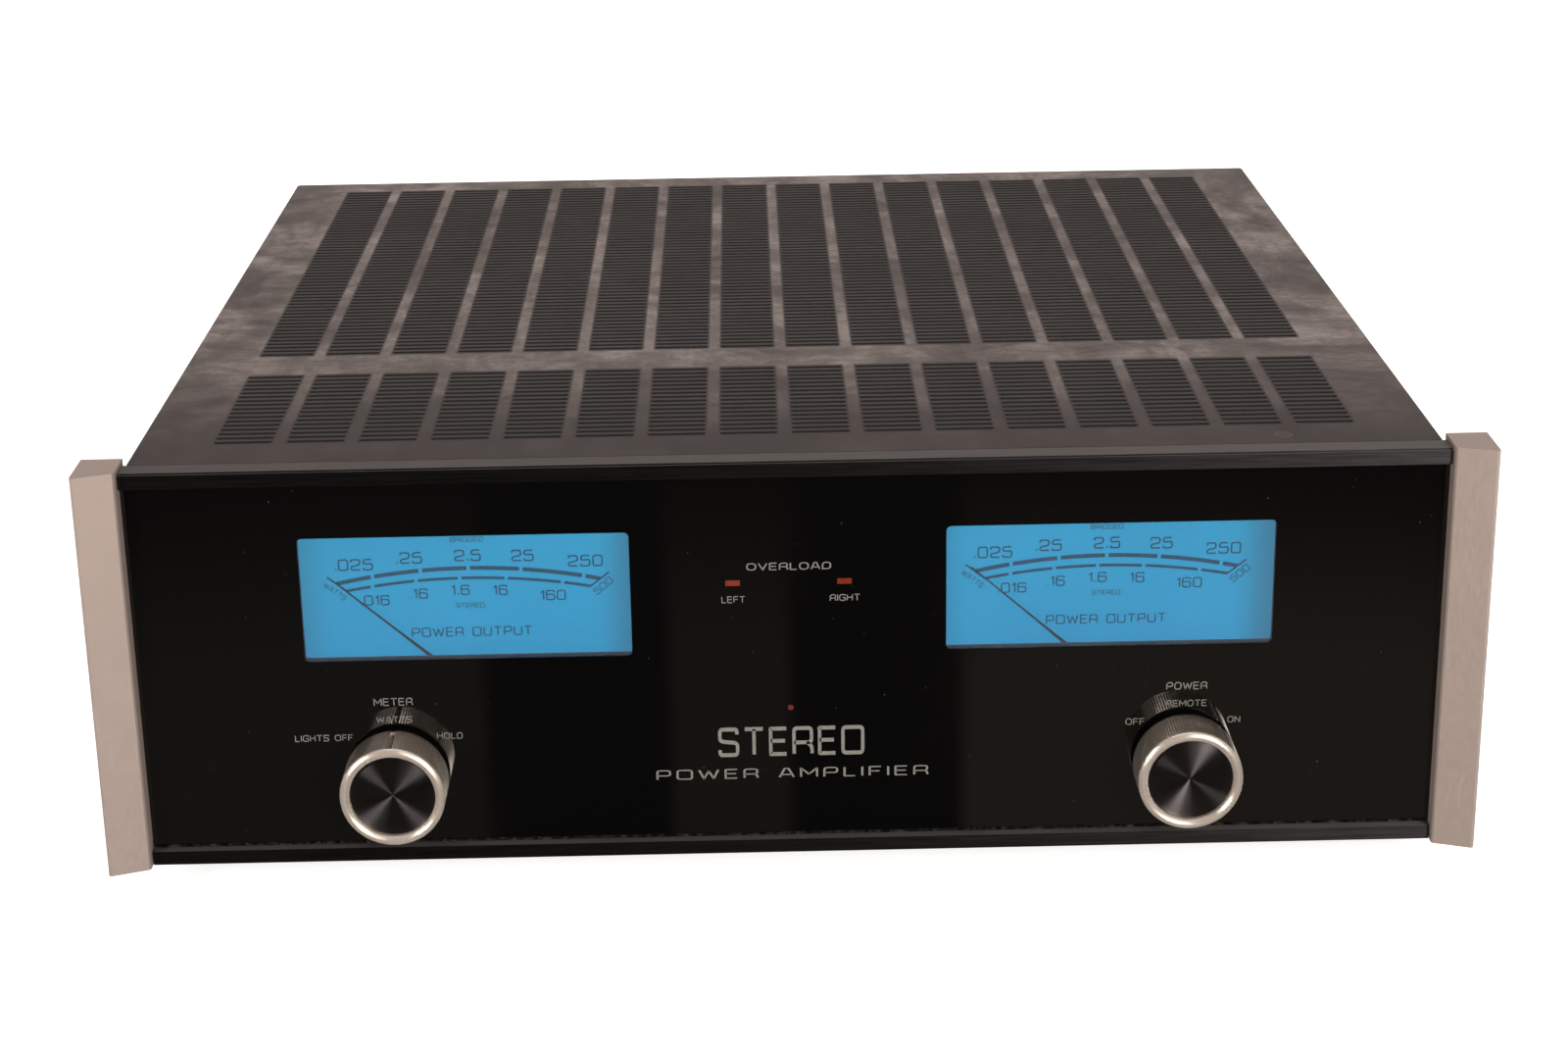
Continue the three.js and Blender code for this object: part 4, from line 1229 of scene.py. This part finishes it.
# Area lights: name, position, target, width and height in metres, and power in watts.
LIGHTS = [
    ("overhead", (-0.1, 0.5, 2.2), (0, 0, 0.1), 1.8, 1.8, 27),
    ("front_right", (1.05, -1.98, 0.62), (0, -0.2, 0.1), 0.42, 0.9, 35),
    ("front_left", (-1.5, -1.62, 0.55), (0, -0.2, 0.1), 0.28, 0.8, 25),
    ("back", (0.3, 2.3, 1.1), (0, 0.1, 0.1), 1.8, 1.2, 22),
]
FLOOR_HALF = 4.0


def build_world():
    """White to the camera, and a soft dark room with lit bands as light and in mirrors."""
    world = bpy.data.worlds.new("studio")
    world.use_nodes = True
    bpy.context.scene.world = world
    x, y, z = split(world, node(world, "TexCoord").outputs["Generated"])
    aside = maths(world, "DIVIDE", x, maths(world, "ABSOLUTE", y, 0.0))
    lit = 0.0
    for low, high in ROOM_BANDS:
        band = stretch(world, aside, low - ROOM_EDGE, low + ROOM_EDGE, high - ROOM_EDGE,
                       high + ROOM_EDGE)
        lit = maths(world, "ADD", lit, band)
    bright = tone(world, aside, 0.04, 0.08, ROOM_LIT, ROOM_LIT_RIGHT)
    sunk = product(world, lit, span(world, z, -0.3, -0.385))
    below = mix(world, sunk, ROOM_DARK, bright)
    level = mix(world, lit, ROOM_DARK, ROOM_LIT)
    level = tone(world, aside, 0.08, 0.2, level, ROOM_RIGHT)
    level = tone(world, aside, 0.42, 0.52, level, ROOM_SIDE)
    level = tone(world, y, -0.3, 0.2, level, ROOM_ABOVE)
    room = tone(world, z, -0.2, 0.0, below, level)
    room = tone(world, z, 0.6, 0.8, room, ROOM_ABOVE)
    seen = node(world, "LightPath").outputs["Is Camera Ray"]
    background = world.node_tree.nodes["Background"]
    plug(world, mix(world, seen, room, (1, 1, 1)), background.inputs["Color"])


def build_stage():
    corners = [(-1, -1), (1, -1), (1, 1), (-1, 1)]
    mesh = bpy.data.meshes.new("floor")
    mesh.from_pydata([(x * FLOOR_HALF, y * FLOOR_HALF, FLOOR_Z) for x, y in corners], [],
                     [(0, 1, 2, 3)])
    mesh.materials.append(look("floor_white", (0.7, 0.7, 0.7), 0.9, Specular_IOR_Level=0.0,
                               Emission_Color=(1, 1, 1), Emission_Strength=0.74))
    floor = bpy.data.objects.new("floor", mesh)
    bpy.context.scene.collection.objects.link(floor)
    floor.visible_glossy = False


def build_lights():
    for name, position, target, width, height, power in LIGHTS:
        data = bpy.data.lights.new(name, "AREA")
        data.energy = power
        data.color = WARM
        data.shape = "RECTANGLE"
        data.size = width
        data.size_y = height
        light = bpy.data.objects.new(name, data)
        light.location = position
        aim = Vector(target) - Vector(position)
        light.rotation_euler = aim.to_track_quat("-Z", "Y").to_euler()
        light.visible_glossy = name != "back"
        bpy.context.scene.collection.objects.link(light)


def build_camera():
    data = bpy.data.cameras.new("camera")
    data.sensor_width = 36.0
    data.lens = 67.28
    data.clip_start = 0.01
    data.clip_end = 50
    camera = bpy.data.objects.new("camera", data)
    camera.location = at(-11.26, -868.6, 423.75)
    camera.rotation_euler = Euler([math.radians(a) for a in (70.413, 0.858, -0.976)], "XYZ")
    bpy.context.scene.collection.objects.link(camera)
    bpy.context.scene.camera = camera
    bpy.context.scene.view_settings.view_transform = "Standard"


def main():
    random.seed(7)
    build_camera()
    build_world()
    build_stage()
    build_lights()
    dress_nodes()
    build_glass()
    build_panes()
    build_meters()
    build_selectors()
    build_legends()
    build_lamps()
    build_top_rail()
    build_cover()
    build_screws()
    build_rear_legends()


main()
bpy.context.view_layer.update()
